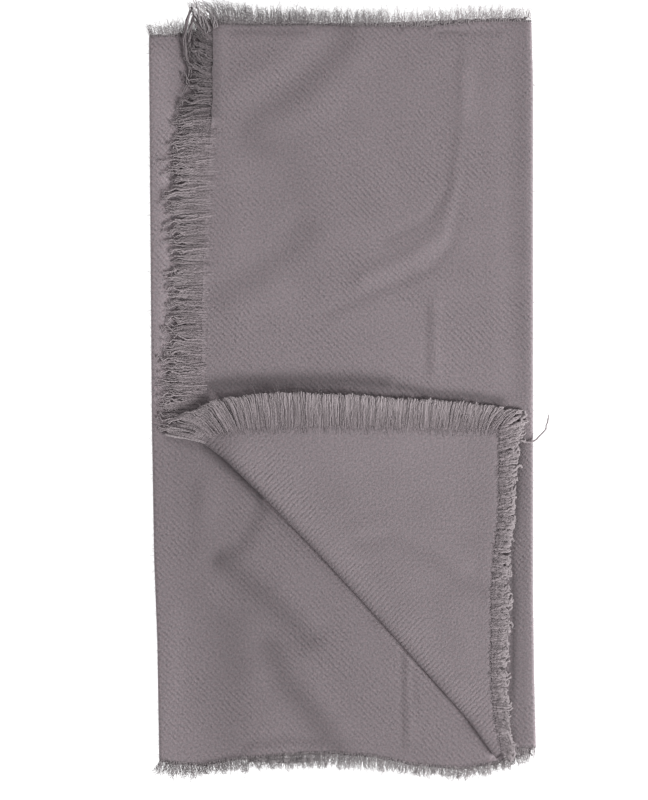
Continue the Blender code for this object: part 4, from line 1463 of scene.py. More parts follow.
@dataclass(frozen=True)
class YarnSpinner:
    """Turns lines into crimped and tapering yarns with a tree of geometry nodes."""

    segments: int = 24
    sides: int = 5
    crimp_height: float = 0.00035
    crimp_length: float = 0.0046
    taper: float = 0.30  # how much thinner a yarn is at its tip
    thinning: float = 2.5  # how late along the yarn it thins
    onset: float = 5.0  # the crimp is full at one part in so many of the yarn's length
    flatness: float = 0.7  # how much less a yarn waves upward than sideways
    jitter: float = 0.9  # unevenness of the waves, in radians

    def spin(self, lines: bpy.types.Mesh, finish: bpy.types.Material, seed: int) -> bpy.types.Mesh:
        """Build the tree and run it on the lines.

        Args:
            lines: the mesh of edges.
            finish: the yarns' material.
            seed: for the unevenness of the waves.

        Returns:
            The yarns as a plain mesh.
        """
        wire = GrowingTree("Frayed yarns", {
            "Segments": self.segments, "Sides": self.sides, "Taper": self.taper,
            "Crimp height": self.crimp_height, "Crimp length": self.crimp_length,
            "Seed": seed, "Wool": finish,
        })
        given = wire.given
        curves = wire.out("GeometryNodeMeshToCurve", {"Mesh": given["Geometry"]})
        curves = wire.out(
            "GeometryNodeCurveSplineType", {"Curve": curves}, spline_type="CATMULL_ROM"
        )
        counted = {"Curve": curves, "Count": given["Segments"]}
        curves = wire.out("GeometryNodeResampleCurve", counted)
        place = wire.add("GeometryNodeSplineParameter").outputs
        share, length = place["Factor"], place["Length"]
        crimp, girth, phase = (
            wire.out("GeometryNodeInputNamedAttribute", {"Name": name})
            for name in ("crimp", "girth", "phase")
        )
        tangent = wire.out("GeometryNodeInputTangent")
        side = wire.vector("NORMALIZE", wire.vector("CROSS_PRODUCT", tangent, (0.0, 0.0, 1.0)))
        above = wire.vector("NORMALIZE", wire.vector("CROSS_PRODUCT", side, tangent))
        turns = wire.math("DIVIDE", length, given["Crimp length"])
        angle = wire.math("MULTIPLY_ADD", turns, 2.0 * math.pi, phase)
        angle = wire.total(angle, (wire.jitter(-0.5, 0.5), self.jitter))
        free = wire.math("MULTIPLY", share, self.onset, clamp=True)
        swing = wire.times(given["Crimp height"], crimp, free)
        sideways = wire.times(wire.math("SINE", angle), swing)
        upward = wire.times(wire.math("COSINE", angle), wire.times(swing, self.flatness))
        sideways, upward = wire.vector("SCALE", side, sideways), wire.vector("SCALE", above, upward)
        moved = {"Geometry": curves, "Offset": wire.vector("ADD", sideways, upward)}
        curves = wire.out("GeometryNodeSetPosition", moved)
        shade = wire.math("FRACT", wire.times(phase, 7.31))  # a number of each yarn's own
        for name, value in (("share", share), ("shade", shade), ("travel", length)):
            curves = wire.keep(curves, name, value)
        thinner = wire.times(wire.math("POWER", share, self.thinning), given["Taper"])
        radius = wire.times(wire.math("SUBTRACT", 1.0, thinner), girth)
        curves = wire.out("GeometryNodeSetCurveRadius", {"Curve": curves, "Radius": radius})
        circle = {"Resolution": given["Sides"], "Radius": 1.0}
        profile = wire.out("GeometryNodeCurvePrimitiveCircle", circle)
        around = wire.out("GeometryNodeInputPosition")
        profile = wire.keep(profile, "around", around, "FLOAT_VECTOR")
        swept = {"Curve": curves, "Profile Curve": profile, "Scale": radius, "Fill Caps": True}
        return wire.grow(lines, wire.out("GeometryNodeCurveToMesh", swept))


def joined(name: str, meshes: list[bpy.types.Mesh]) -> bpy.types.Mesh:
    """Join meshes into one.

    Args:
        name: the new mesh's name.
        meshes: the meshes, which are used up.

    Returns:
        The new mesh.
    """
    shape = bmesh.new()
    for mesh in meshes:
        shape.from_mesh(mesh)
    result = bpy.data.meshes.new(name)
    for finish in meshes[0].materials:
        result.materials.append(finish)
    shape.to_mesh(result)
    shape.free()
    for mesh in meshes:
        bpy.data.meshes.remove(mesh)
    result.shade_smooth()
    result.name = name
    return result


@dataclass(frozen=True)
class Lock:
    """A twisted bundle of yarns that follows a line of places."""

    STEPS = 12
    CORE = 0.05  # no yarn is nearer the bundle's middle than the root of this share
    LENGTHS = (0.82, 1.03)  # of a yarn, as a share of the line
    LOWEST = -0.6  # how far below the middle yarns hang, as a share of the width
    ROUNDNESS = 0.8  # how high the bundle is for its width

    line: tuple[Place, ...]
    yarns: int
    spread: float
    lift: tuple[float, float, float]  # above what it lies on: at its start, middle and end
    turns: float = 0.6
    radius: float = 0.00055
    crimp: float = 1.0
    splay: float = 1.0  # how much wider the bundle is at its end
    dim: float = 0.0  # painted shade, how much darker its yarns are

    def lines(self, rest: Height, rng: np.random.Generator) -> np.ndarray:
        """The yarns' points.

        Args:
            rest: the height of what the lock lies on.
            rng: the source of its unevenness.

        Returns:
            A row of points for each yarn.
        """
        path = spaced(self.line, self.STEPS)
        share = np.linspace(0.0, 1.0, self.STEPS)
        side = unit(np.gradient(path, axis=0))[:, ::-1] * np.array([-1.0, 1.0])
        lift = np.interp(share, (0.0, 0.5, 1.0), self.lift)
        start = rng.uniform(0.0, 2.0 * math.pi, self.yarns)[:, None]
        out = np.sqrt(rng.uniform(self.CORE, 1.0, self.yarns))[:, None] * self.spread
        angle = start + 2.0 * math.pi * self.turns * share
        width = out * (1.0 + (self.splay - 1.0) * share**2)
        reach = rng.uniform(*self.LENGTHS, self.yarns)
        x, y = (
            np.array([np.interp(share * length, share, path[:, axis]) for length in reach])
            + side[:, axis] * np.cos(angle) * width
            for axis in (0, 1)
        )
        hang = np.maximum(np.sin(angle), self.LOWEST) * width * self.ROUNDNESS
        z = rest(x, y) + lift + hang + self.radius
        return np.stack([x, y, z], axis=2)


@dataclass(frozen=True)
class Growth:
    """One kind of yarn along a frayed side, and how it falls into locks."""

    per_metre: float = 700.0
    radius: float = 0.00062
    depth: tuple[float, float] = (0.0006, 0.0050)  # how far inside the edge yarns come free
    emerge: float = 0.35  # how far a yarn stands out of the cloth there, in radii
    uneven: float = 0.35  # how much that varies
    lock_width: float = 0.0040
    pinch: float = 0.35  # how far locks draw together near their roots
    gather: float = 0.10  # and at their tips
    spread: float = 0.06  # unevenness in length
    stray: float = 0.0006  # unevenness of the tips' places
    lean: float = 0.0  # how far whole locks lean along the edge, at random
    lean_mean: float = 0.0
    wave: float = 0.0004  # how far whole locks sway
    wave_length: float = 0.011
    rise: float = 0.0009
    reach: float = 1.0  # length, as a share of the side's usual
    crimp: float = 1.0
    steps: int = 10
    spinner: YarnSpinner = field(default_factory=YarnSpinner)


@dataclass
class FrayedSide:
    """One frayed side of the cloth: short yarns in locks, rooted in its edge."""

    PLACES = (0.15, 0.85)  # of a yarn in its own stretch of the edge
    WIDTHS = (0.5, 1.6)  # of a lock, as a share of the usual
    KEEPS = (0.7, 1.3)  # how far a lock holds together, as a share of the usual
    LOCK_LENGTHS = (-0.6, 0.5)  # how a lock's length differs, in spreads
    YARN_LENGTHS = (-0.7, 0.6)  # and a yarn's
    SWINGS = (0.3, 1.5)  # how far a lock sways, as a share of the usual
    GIRTHS = (0.75, 1.22)
    CRIMPS = (0.35, 1.3)
    BEND = 1.5  # how soon yarns turn towards their tips
    EASE = 0.006  # over what length the line of the tips is rounded
    SUNK = 0.0012  # yarns rooted nearer to the edge than this start lower
    FREE = 0.001  # past the edge, yarns may rest on what lies below
    HUMP = 0.002  # how far that may raise them above their root

    name: str
    nodes: tuple[str, ...]
    edges: list[Edge]
    tips: tuple[Tip, ...]
    along: Along  # what the tips' root column, the hold and the painted shade are listed by
    rest: Height
    seed: int
    growths: tuple[Growth, ...]
    hold: Pairs  # share of the root's height that tips keep
    locks: tuple[Lock, ...] = ()
    dim: Pairs = ((0.0, 0.0),)  # painted shade, how much darker yarns are
    clear: float = 0.0006
    wool: Wool = Wool.YARN

    def lay(self, edge: Edge, growth: Growth, rng: np.random.Generator, lines: YarnLines) -> None:
        """Root yarns along an edge and lay them out to their tips.

        Args:
            edge: the cloth's edge.
            growth: the kind of yarn.
            rng: the source of their unevenness.
            lines: where the yarns go.
        """
        total = edge.lengths[-1]
        count = int(total * growth.per_metre)
        stops = (np.arange(count) + rng.uniform(*self.PLACES, count)) / count * total
        most = int(3 * total / growth.lock_width)
        widths = growth.lock_width * rng.uniform(*self.WIDTHS, most)
        bounds = np.concatenate([[0.0], np.cumsum(widths)])
        lock = np.searchsorted(bounds, stops) - 1
        locks = len(bounds)
        centre = np.clip((bounds[lock] + bounds[lock + 1]) / 2, 0.0, total)
        root, outward, up = edge.at(stops)
        lock_root = edge.at(centre)[0]
        keep = rng.uniform(*self.KEEPS, locks)[lock]
        gather = np.clip(growth.gather * keep, 0.0, 1.0)[:, None]
        tip, lock_tip = (self.tip_at(points[:, self.along.value]) for points in (root, lock_root))
        target = tip * (1.0 - gather) + lock_tip * gather
        target = target + rng.normal(0.0, growth.stray * 0.8, (locks, 2))[lock]
        target = target + rng.normal(0.0, growth.stray, (count, 2))
        lean = rng.normal(growth.lean_mean, growth.lean, locks)[lock]
        run = unit(np.cross(up, outward))[:, :2]
        target = target + run * lean[:, None]
        reach = target - root[:, :2]
        longer = rng.uniform(*self.LOCK_LENGTHS, locks)[lock]
        longer = longer + rng.uniform(*self.YARN_LENGTHS, count)
        reach = reach * (growth.reach * (1.0 + growth.spread * longer))[:, None]
        far = np.linalg.norm(reach, axis=1)
        across = unit(np.stack([-reach[:, 1], reach[:, 0]], axis=1))

        share = np.linspace(0.0, 1.0, growth.steps)[None, :, None]
        depth = rng.uniform(*growth.depth, count)
        begin = root - outward * depth[:, None]
        straight = outward[:, :2] * far[:, None] + (root - begin)[:, :2]
        plan = begin[:, None, :2] + straight[:, None] * share * (1.0 - share) ** self.BEND
        turned = 1.0 - (1.0 - share) ** self.BEND
        plan = plan + (root[:, :2] + reach - begin[:, :2])[:, None] * turned
        drawn = np.sin(np.pi * np.clip(share * 1.5, 0.0, 1.0)) ** 1.2
        drawn = np.clip(growth.pinch * keep[:, None, None] * drawn, 0.0, 0.95)
        plan = plan + (lock_root - root)[:, None, :2] * drawn
        phase = rng.uniform(0.0, 2.0 * math.pi, locks)[lock]
        swing = rng.uniform(*self.SWINGS, locks)[lock] * growth.wave
        angle = 2.0 * math.pi * far[:, None] / growth.wave_length * share[..., 0] + phase[:, None]
        sway = swing[:, None] * np.sin(angle) * np.clip(share[..., 0] * 2.0, 0.0, 1.0)
        plan = plan + across[:, None] * sway[..., None]

        girth = growth.radius * rng.uniform(*self.GIRTHS, count)
        below = self.rest(plan[..., 0], plan[..., 1]) + self.clear + girth[:, None] * 0.7
        hold = np.interp(root[:, self.along.value], *np.array(self.hold).T)
        hold = np.clip(hold + rng.normal(0.0, 0.06, count), 0.0, 1.4)[:, None]
        emerge = growth.emerge + rng.uniform(-growth.uneven, growth.uneven, count)
        start = begin[:, 2:] + WALL / 2 - (girth * (1.0 - emerge))[:, None]
        start = start - np.clip(self.SUNK - depth, 0.0, self.SUNK)[:, None]
        floor = np.minimum(below[:, -1:], start)
        end = floor + (start - floor) * hold
        fall = share[..., 0] ** 1.5
        height = start * (1.0 - fall) + end * fall
        bow = rng.uniform(0.0, growth.rise, locks)[lock] + rng.uniform(0.0, 0.0004, count)
        height = height + bow[:, None] * np.sin(np.pi * share[..., 0])
        inside = share[..., 0] * (far + depth)[:, None] < depth[:, None] + self.FREE
        raised = np.maximum(height, np.minimum(below, start + self.HUMP))
        height = np.where(inside, height, raised)
        lines.add(
            np.concatenate([plan, height[..., None]], axis=2),
            girth,
            growth.crimp * rng.uniform(*self.CRIMPS, count),
            rng.uniform(0.0, 2.0 * math.pi, count) * 0.45 + phase,
            np.interp(root[:, self.along.value], *np.array(self.dim).T),
        )

    def tip_at(self, key: np.ndarray) -> np.ndarray:
        """Where yarns end that are rooted at places along the edge."""
        columns = [read(self.tips, key, "root", name, self.EASE) for name in ("x", "y")]
        return np.stack(columns, axis=1)

    def build(self, finish: bpy.types.Material, shift: np.ndarray) -> bpy.types.Object:
        """Make the yarns one piece.

        Args:
            finish: their material.
            shift: from plan measures to the frame.

        Returns:
            The piece.
        """
        rng = np.random.default_rng(self.seed)
        meshes = []
        for growth in self.growths:
            lines = YarnLines()
            for edge in self.edges:
                self.lay(edge, growth, rng, lines)
            meshes.append(growth.spinner.spin(lines.mesh(self.name, shift), finish, self.seed))
        if self.locks:
            lines = YarnLines()
            for lock in self.locks:
                lines.add(
                    lock.lines(self.rest, rng),
                    lock.radius * rng.uniform(0.75, 1.2, lock.yarns),
                    lock.crimp * rng.uniform(0.4, 1.3, lock.yarns),
                    rng.uniform(0.0, 2.0 * math.pi, lock.yarns),
                    np.full(lock.yarns, lock.dim),
                )
            spinner = self.growths[0].spinner
            meshes.append(spinner.spin(lines.mesh(self.name, shift), finish, self.seed))
        piece = place_piece(joined(self.name, meshes), finish)
        if self.nodes:
            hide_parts(*self.nodes)
        return piece


@dataclass
class LockedLine:
    """The line of small locked stitches from which a side is frayed, their dark thread partly
    painted shade along the fringe's roots.
    """

    name: str
    edge: Edge
    seed: int
    size: tuple[float, float, float]
    pitch: float = 0.0027
    inset: float = 0.0004  # from the edge into the cloth
    stand: float = 0.0004  # above the cloth's middle

    def build(self, finish: bpy.types.Material, shift: np.ndarray) -> bpy.types.Object:
        """Make the line one piece.

        Args:
            finish: the thread's material.
            shift: from plan measures to the frame.

        Returns:
            The piece.
        """
        rng = np.random.default_rng(self.seed)
        count = int(self.edge.lengths[-1] / self.pitch)
        stops = (np.arange(count) + rng.uniform(0.3, 0.7, count)) / count * self.edge.lengths[-1]
        points, outward, up = self.edge.at(stops)
        points = points - outward * self.inset + up * self.stand
        points = points + outward * rng.normal(0.0, 0.00045, (count, 1))
        run = np.cross(outward, up) + outward * rng.normal(0.0, 0.25, (count, 1))
        mesh = bpy.data.meshes.new(self.name)
        mesh.from_pydata((points + shift).tolist(), [], [])
        values = mesh.attributes.new("run", "FLOAT_VECTOR", "POINT")
        values.data.foreach_set("vector", run.astype(np.float32).ravel())
        wire = GrowingTree(
            "Locked stitches", {"Knot size": self.size, "Seed": self.seed, "Wool": finish}
        )
        knot = wire.out("GeometryNodeMeshIcoSphere", {"Radius": 1.0, "Subdivisions": 2})
        run = wire.out("GeometryNodeInputNamedAttribute", {"Name": "run"}, data_type="FLOAT_VECTOR")
        turn = wire.out("FunctionNodeAlignRotationToVector", {"Vector": run}, axis="X")
        size = wire.vector("SCALE", wire.given["Knot size"], wire.jitter(0.7, 1.2))
        placed = {"Points": wire.given["Geometry"], "Instance": knot, "Rotation": turn}
        knots = wire.out("GeometryNodeInstanceOnPoints", {**placed, "Scale": size})
        return place_piece(wire.grow(mesh, knots), finish)


@dataclass
class Studio:
    """A plain pale floor, soft light and a camera straight above."""

    centre: Place = Place(0.1653, 0.3477)
    level: float = 0.010
    distance: float = 1.79
    frame_height: float = 0.760
    sensor: float = 36.0
    floor_size: float = 8.0
    floor_white: float = 0.25
    floor_glow: float = 1.05
    floor_roughness: float = 0.9
    floor_gap: float = 0.0003  # below the scarf
    near: float = 0.01  # the camera sees nothing closer
    sky_colour: tuple[float, float, float] = (1.0, 0.985, 0.99)
    sky_low: float = 0.42
    sky_high: float = 0.36
    key_power: float = 189.0
    key_azimuth: float = 120.0  # degrees clockwise from +Y
    key_elevation: float = 34.0
    key_distance: float = 4.0
    key_size: float = 1.9

    def build(self, shift: np.ndarray) -> None:
        """Set up the floor, the lights and the camera.

        Args:
            shift: from plan measures to the frame.
        """
        scene = bpy.context.scene
        aim = Vector((self.centre.x + shift[0], self.centre.y + shift[1], self.level))
        camera = bpy.data.cameras.new("Camera")
        camera.sensor_width = self.sensor
        camera.lens = self.sensor * self.distance / self.frame_height
        camera.clip_start = self.near
        eye = bpy.data.objects.new("Camera", camera)
        eye.location = aim + Vector((0.0, 0.0, self.distance))
        scene.collection.objects.link(eye)
        scene.camera = eye

        half = self.floor_size / 2
        corners = [(-half, -half), (half, -half), (half, half), (-half, half)]
        mesh = bpy.data.meshes.new("floor")
        mesh.from_pydata([(x, y, -self.floor_gap) for x, y in corners], [], [(0, 1, 2, 3)])
        mesh.materials.append(self.floor_finish())
        floor = bpy.data.objects.new("floor", mesh)
        scene.collection.objects.link(floor)

        world = bpy.data.worlds.new("Studio")
        world.use_nodes = True
        wire = Wiring(world.node_tree)
        sky = world.node_tree.nodes["Background"]
        sky.inputs["Color"].default_value = (*self.sky_colour, 1.0)
        way = wire.add("ShaderNodeTexCoord").outputs["Generated"]
        height = wire.add("ShaderNodeSeparateXYZ", {0: way}).outputs[2]
        bright = {"Value": height, 1: 0.0, 2: 1.0, 3: self.sky_low, 4: self.sky_high}
        wire.feed(sky.inputs["Strength"], wire.out("ShaderNodeMapRange", bright))
        scene.world = world

        turn, rise = math.radians(self.key_azimuth), math.radians(self.key_elevation)
        flat = math.cos(rise)
        way = Vector((math.sin(turn) * flat, math.cos(turn) * flat, math.sin(rise)))
        key = bpy.data.lights.new("Key", "AREA")
        key.shape = "DISK"
        key.size = self.key_size
        key.energy = self.key_power
        lamp = bpy.data.objects.new("Key", key)
        lamp.location = aim + way * self.key_distance
        lamp.rotation_euler = way.to_track_quat("Z", "Y").to_euler()
        scene.collection.objects.link(lamp)
        scene.view_settings.view_transform = "Standard"
        scene.view_settings.look = "None"

    def floor_finish(self) -> bpy.types.Material:
        """A white sheet that is lit a little from within."""
        finish = bpy.data.materials.new("White studio sheet")
        finish.use_nodes = True
        surface = finish.node_tree.nodes["Principled BSDF"]
        for socket, value in (
            ("Base Color", (*(self.floor_white,) * 3, 1.0)),
            ("Roughness", self.floor_roughness),
            ("Emission Color", (1.0, 1.0, 1.0, 1.0)),
            ("Emission Strength", self.floor_glow),
        ):
            surface.inputs[socket].default_value = value
        return finish


def second_top(x: np.ndarray, y: np.ndarray) -> np.ndarray:
    """The upper face of the second layer, and what it would be past its edges."""
    return second_height(x, y) + WALL / 2


def top_top(x: np.ndarray, y: np.ndarray) -> np.ndarray:
    """The upper face of the top layer."""
    return top_height(x, y) + WALL / 2


def level(height: float) -> Height:
    """A level surface at a height."""
    return lambda x, y: np.full(np.shape(x), height)


def side_rest(x: np.ndarray, y: np.ndarray) -> np.ndarray:
    """What the turned corner's side yarns lie on: the top layer, and the air past its fold."""
    past = np.maximum(x - read(RIGHT_FOLD, y, "y", "x"), 0.0)
    return top_top(np.minimum(x, 0.362), y) - 14.0 * past**2


def plan_shift() -> np.ndarray:
    """The step from plan measures to the frame, read from two nodes' boxes."""
    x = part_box("second_stretch")[0].x - SECOND_LEFT_X
    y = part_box("hidden_folds")[0].y - CORE_LOWER_Y
    return np.array([x, y, 0.0])


def corners(box: tuple) -> list[list[float]]:
    """A box as plain lists of numbers."""
    return [[float(value) for value in corner] for corner in box]


def frayed_sides(
    corner: TurnedCorner, top: TopLayer, second: SecondLayer, hidden: HiddenLayers
) -> list[tuple[Layer, list[FrayedSide]]]:
    """The frayed sides, by the layer they belong to.

    Args:
        corner: the turned corner.
        top: the top layer.
        second: the second layer.
        hidden: the hidden layers.

    Returns:
        Each layer with its sides.
    """
    hair = YarnSpinner(segments=8, sides=3, crimp_height=0.0006, crimp_length=0.0055, taper=0.5)
    curl = replace(hair, segments=10, crimp_length=0.0046)
    stub = YarnSpinner(segments=5, sides=3, crimp_height=0.0003, crimp_length=0.0030, taper=0.6)
    loose = Growth(emerge=1.2, pinch=0.0, gather=0.0, reach=0.80, spinner=hair)
    wisps = replace(loose, per_metre=1500.0, radius=0.00013, depth=(0.0, 0.009), lock_width=0.003,
                    spread=0.6, stray=0.0026, rise=0.0024, steps=7)
    haze = replace(loose, per_metre=2400.0, radius=0.00013, depth=(0.0, 0.003), lock_width=0.002,
                   spread=0.5, stray=0.0030, rise=0.002, steps=6, emerge=1.0)
    fuzz = replace(loose, per_metre=1200.0, radius=0.00012, depth=(0.0, 0.0004), lock_width=0.003,
                   spread=0.8, stray=0.0013, rise=0.0, steps=5, emerge=0.0, wave_length=0.005,
                   reach=1.0, spinner=stub)
    longer = Growth(per_metre=600.0, radius=0.00020, depth=(0.0003, 0.0030), emerge=0.6,
                    lock_width=0.0036, pinch=0.15, gather=0.12, spread=0.32, stray=0.0020,
                    lean=0.0018, wave=0.0010, wave_length=0.010, rise=0.0014, steps=8,
                    spinner=curl)
    fine = replace(longer, per_metre=3000.0, radius=0.00022, pinch=0.10, gather=0.06, spread=0.36,
                   stray=0.0016, lean=0.0012, wave=0.0008, wave_length=0.009, rise=0.0010,
                   reach=0.80, steps=7)
    plain = Growth(per_metre=500.0, radius=0.00030, depth=(0.0003, 0.0020), lock_width=0.0034,
                   pinch=0.2, gather=0.3, spread=0.35, stray=0.0014, rise=0.0006, steps=6,
                   reach=0.85, spinner=YarnSpinner(8, 3, 0.00035, 0.0052, 0.5))
    thin, sparse = (
        tuple(replace(kind, per_metre=kind.per_metre * share) for kind in (fine, longer, haze))
        for share in (0.5, 0.25)
    )
    short = (
        replace(fine, reach=0.84, spread=0.22, radius=0.00030), replace(longer, reach=0.92), haze
    )
    end = FrayedSide(
        name="end_yarns",
        nodes=("end_fringe",),
        edges=[top.end_edge()],
        tips=TOP_END_TIPS,
        along=Along.Y,
        rest=second_top,
        seed=3,
        growths=(
            Growth(per_metre=1050.0, radius=0.00090, depth=(0.0, 0.0100), lock_width=0.0060,
                   pinch=0.10, gather=0.15, spread=0.30, stray=0.0010, lean=0.0016, wave=0.0008,
                   wave_length=0.015, rise=0.0002, reach=0.88, emerge=-0.05,
                   spinner=YarnSpinner(18, 4, 0.0003, 0.0065, 0.65)),
            Growth(per_metre=320.0, radius=0.00092, depth=(0.0, 0.0110), lock_width=0.0090,
                   pinch=0.30, gather=0.55, spread=0.24, stray=0.0011, lean=0.0034, wave=0.0018,
                   wave_length=0.015, rise=0.0014, emerge=-0.05,
                   spinner=YarnSpinner(22, 5, 0.0004, 0.0070, 0.65)),
            wisps,
            Growth(per_metre=340.0, radius=0.00070, depth=(0.0005, 0.0060), lock_width=0.0080,
                   spread=0.40, stray=0.0010, lean=0.0040, rise=0.0008, reach=0.60, emerge=0.50,
                   spinner=YarnSpinner(16, 4, 0.0004, 0.0070, 0.65)),
        ),
        hold=((0.31, 0.12), (0.60, 0.16), (0.625, 0.14), (0.70, 0.10)),
        # painted shade: the yarns darken towards the hollow at the top of the free end, and are a
        # little paler lower down
        dim=((0.59, -0.06), (0.63, 0.28), (0.67, 0.42), (0.70, 0.36)),
        # the cords in that hollow carry painted shade as well
        locks=(
            Lock(places(40, 720, 35, 706, 32.5, 690, 35.2, 670.7, 38.8, 659.3, 35.2, 647,
                        31.4, 636.5),
                 5, 0.0010, (0.0028, 0.0022, 0.0010), 1.8, 0.0008, splay=1.3, dim=0.32),
            Lock(places(43, 716, 38.5, 700, 36.5, 685, 38, 670),
                 4, 0.0012, (0.0026, 0.0022, 0.0008), 1.2, 0.0007, splay=1.4, dim=0.36),
        ),
    )
    turned_end = FrayedSide(
        name="turned_end_yarns",
        nodes=("turned_end_fringe",),
        edges=[corner.upper_edge()],
        tips=CORNER_UPPER_TIPS,
        along=Along.X,
        rest=top_top,
        seed=5,
        growths=(
            Growth(per_metre=1200.0, radius=0.00095, depth=(0.0, 0.0080), lock_width=0.0030,
                   pinch=0.05, gather=0.0, spread=0.04, stray=0.0004, wave=0.0003, rise=0.0001,
                   emerge=-0.45, spinner=YarnSpinner(16, 4, 0.00016, 0.007)),
            Growth(per_metre=420.0, radius=0.00100, depth=(0.0, 0.0100), lock_width=0.0050,
                   pinch=0.35, gather=0.0, spread=0.045, stray=0.0005, wave=0.0006, rise=0.0003,
                   emerge=-0.25, spinner=YarnSpinner(20, 5, 0.00020, 0.009)),
            wisps,
        ),
        hold=((0.056, 0.45), (0.08, 0.85), (0.12, 0.98), (0.20, 0.95), (0.28, 0.62), (0.33, 0.45)),
        # painted light: the yarns are a little paler from x 0.12 on
        dim=((0.08, 0.0), (0.12, -0.04)),
        locks=tuple(
            Lock(places(*line), 7, 0.0014, lift, 0.5, 0.0009, 0.7, 1.6)
            for lift, *line in (
                ((0.0074, 0.0034, -0.0022), 65, 303.5, 50, 309.5, 34, 313.5, 15, 315),
                ((0.0074, 0.0036, -0.0022), 60.5, 307, 48, 312, 33, 316, 15, 318),
                ((0.0076, 0.0046, -0.0016), 67, 307.5, 51, 314.5, 35, 319.5, 18, 321),
                ((0.0076, 0.0048, -0.0010), 62, 311, 50, 317.5, 37, 322.5, 21, 324),
                ((0.0078, 0.0056, 0.0), 66, 312.5, 53, 320.5, 41, 326, 27, 329),
            )
        ),
    )
    turned_side = FrayedSide(
        name="turned_side_yarns",
        nodes=("turned_side_fringe",),
        edges=[corner.side_edge()],
        tips=CORNER_SIDE_TIPS,
        along=Along.Y,
        rest=side_rest,
        seed=7,
        growths=(
            Growth(per_metre=620.0, radius=0.00165, depth=(0.0, 0.0025), lock_width=0.0060,
                   pinch=0.0, gather=0.05, spread=0.09, stray=0.0006, lean=0.0030,
                   lean_mean=0.0020, wave=0.0010, rise=0.0004, reach=0.88, emerge=-0.2,
                   spinner=YarnSpinner(16, 6, 0.0005, 0.0070, 0.35)),
            Growth(per_metre=220.0, radius=0.00155, depth=(0.0, 0.0025), lock_width=0.0070,
                   pinch=0.15, gather=0.35, spread=0.12, stray=0.0009, lean=0.0056,
                   lean_mean=0.0035, wave=0.0018, wave_length=0.013, rise=0.0007, reach=0.92,
                   emerge=0.0, spinner=YarnSpinner(20, 6, 0.0007, 0.0072, 0.35)),
            replace(wisps, depth=(0.0, 0.0040), stray=0.0018, reach=0.70, rise=0.0016),
        ),
        hold=((0.0, 0.50), (0.32, 0.55)),
        # painted shade: the side yarns are darker
        dim=((0.0, 0.14), (0.28, 0.13), (0.32, 0.07)),
        locks=(
            Lock(places(330, 319, 340, 326, 350, 333, 357, 335.5),
                 9, 0.0019, (0.0040, 0.0042, 0.0018), 1.1, 0.0009, 0.8, 1.3),
            Lock(places(331, 312, 341, 317.5, 352, 324, 358, 329),
                 9, 0.0018, (0.0036, 0.0034, 0.0016), 1.1, 0.0009, 0.8, 1.2),
            Lock(places(331, 304, 340, 308, 350, 315, 356, 318),
                 8, 0.0017, (0.0032, 0.0030, 0.0014), 1.1, 0.0009, 0.8, 1.2),
            Lock(LOOSE_YARN, 1, 0.0001, (0.0020, 0.0010, 0.0004), 0.0, 0.00105, 0.8),
            Lock(LOOSE_YARN, 2, 0.0007, (0.0022, 0.0012, 0.0004), 1.5, 0.00035, 0.6),
        ),
    )
    # the last value of each tuft is painted shade
    tufts = (
        Lock(places(56, 696, 50, 708, 44, 718, 38.5, 726.5),
             22, 0.0036, (0.0050, 0.0050, 0.0046), 0.5, 0.0006, 1.2, 1.6, 0.26),
        Lock(places(62, 700, 56, 712, 52, 720, 47, 727),
             16, 0.0038, (0.0046, 0.0050, 0.0046), 0.5, 0.0005, 1.4, 1.6, 0.26),
        Lock(places(86, 701, 76, 708, 69, 717, 60, 726.5),
             3, 0.0009, (0.0040, 0.0046, 0.0046), 0.4, 0.0004, 1.0, 2.0, 0.50),
    )
    # the hem's last value is painted shade
    hem = Lock(places(93, 6, 118, 5.6, 140, 4.6, 160, 6.2),
               16, 0.0032, (0.0012, 0.0020, 0.0012), 2.6, 0.0010, 0.4, 1.0, 0.38)
    above, under = top.upper_edge(), second.upper_edge()
    uppers = [above, above.until(0.225), above.until(0.150)]  # yarns stand denser to the left
    unders = [under, *[under.until(0.075)] * 3]
    upper, lower, second_upper, second_lower, hidden_upper, hidden_lower = (
        FrayedSide(
            name=f"{name}_yarns",
            nodes=(f"{name}_fringe",),
            edges=edges,
            tips=tips,
            along=Along.X,
            rest=level(height),
            seed=seed,
            growths=growths,
            hold=((0.0, hold), (0.4, hold)),
            locks=locks,
            # painted shade: darker yarns up to x 0.18, easing to the right value by x 0.24
            dim=((0.18, left_shade), (0.24, right_shade)),
            clear=0.0,
            wool=Wool.FLUFF,
        )
        for name, edges, tips, height, seed, growths, hold, left_shade, right_shade, locks in (
            ("upper", uppers, TOP_UPPER_TIPS, 0.0090, 9, thin, 0.72, 0.34, 0.0, tufts),
            ("lower", [top.lower_edge()], TOP_LOWER_TIPS, 0.0080, 11, thin, 0.60, 0.0, 0.0, ()),
            ("second_upper", unders, SECOND_UPPER_TIPS, 0.0052, 13, sparse, 0.70, 0.24, 0.0, ()),
            ("second_lower", [second.lower_edge()], SECOND_LOWER_TIPS, 0.0052, 15, short,
             0.70, 0.32, 0.22, (hem,)),
            ("hidden_upper", hidden.edges(last=False), HIDDEN_UPPER_TIPS, 0.0004, 17, (plain,),
             0.75, 0.0, 0.0, ()),
            ("hidden_lower", hidden.edges(last=True), HIDDEN_LOWER_TIPS, 0.0004, 19, (plain,),
             0.75, 0.0, 0.0, ()),
        )
    )
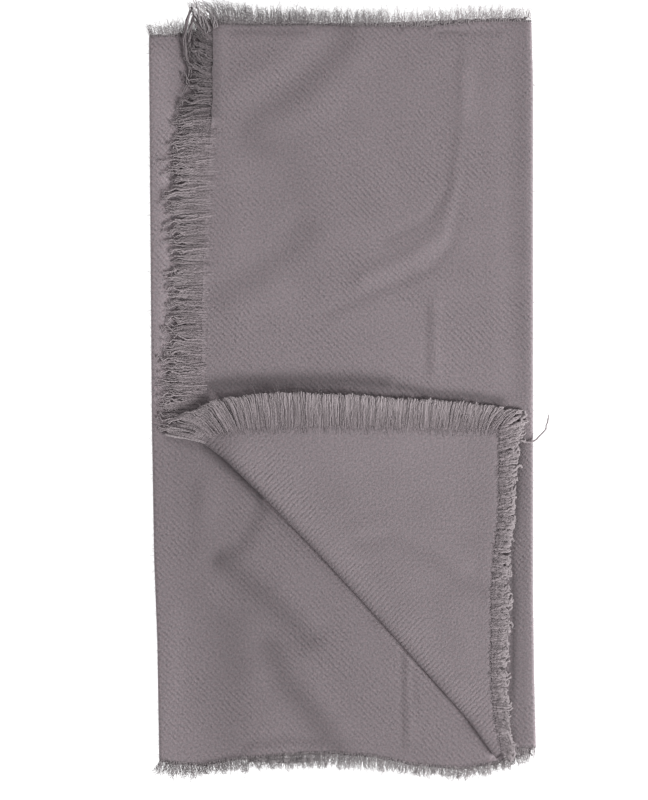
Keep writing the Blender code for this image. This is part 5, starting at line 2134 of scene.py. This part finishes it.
    right_nap, left_nap = (
        FrayedSide(
            name=name,
            nodes=(),
            edges=[edge],
            tips=tuple(Tip(place.y, place.x + reach, place.y) for place in line),
            along=Along.Y,
            rest=level(0.0004),
            seed=seed,
            growths=(fuzz,),
            hold=((0.0, 1.0), (0.7, 1.0)),
            clear=0.0,
            wool=Wool.FLUFF,
        )
        for name, edge, line, reach, seed in (
            ("right_fold_nap", top.right_fold(), RIGHT_FOLD, 0.0010, 31),
            ("left_fold_nap", second.left_fold(), LEFT_FOLD, -0.0010, 33),
        )
    )
    return [
        (corner, [turned_end, turned_side]),
        (top, [end, upper, lower, right_nap]),
        (second, [second_upper, second_lower, left_nap]),
        (hidden, [hidden_upper, hidden_lower]),
    ]


def main() -> None:
    """Build the scarf round its frame and set up the studio."""
    logging.basicConfig(level=logging.INFO, format="%(message)s")
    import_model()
    shift = plan_shift()
    Studio().build(shift)
    twill, stitch_and_root_shade = TwillFinish().make(), StitchAndRootShadeFinish().make()
    wools = {
        Wool.YARN: YarnFinish().make(),
        # painted light: the fine wool is far paler than the cloth, for light that shows through
        # single fibres; its darker roots are painted shade
        Wool.FLUFF: YarnFinish(
            name="Fine frayed wool", root=(0.440, 0.395, 0.408), tip=(0.780, 0.740, 0.750)
        ).make(),
    }

    corner, top, second, hidden = TurnedCorner(), TopLayer(), SecondLayer(), HiddenLayers()
    corner.shape()
    top.shape(corner.cloth)
    second.shape(top.cloth)
    hidden.shape()
    for layer in (corner, top, second, hidden):
        layer.build(twill, shift)
    for layer, sides in frayed_sides(corner, top, second, hidden):
        layer.trims += [side.build(wools[side.wool], shift) for side in sides]
    for name, layer, edge, seed, size in (
        ("side_knots", corner, corner.side_edge(), 23, SMALL_STITCH),
        ("lower_knots", second, second.lower_edge(), 25, STITCH),
        ("second_upper_knots", second, second.upper_edge(), 27, STITCH),
        ("upper_knots", top, top.upper_edge(), 29, STITCH),
    ):
        layer.trims.append(LockedLine(name, edge, seed, size).build(stitch_and_root_shade, shift))


if __name__ == "__main__":
    main()
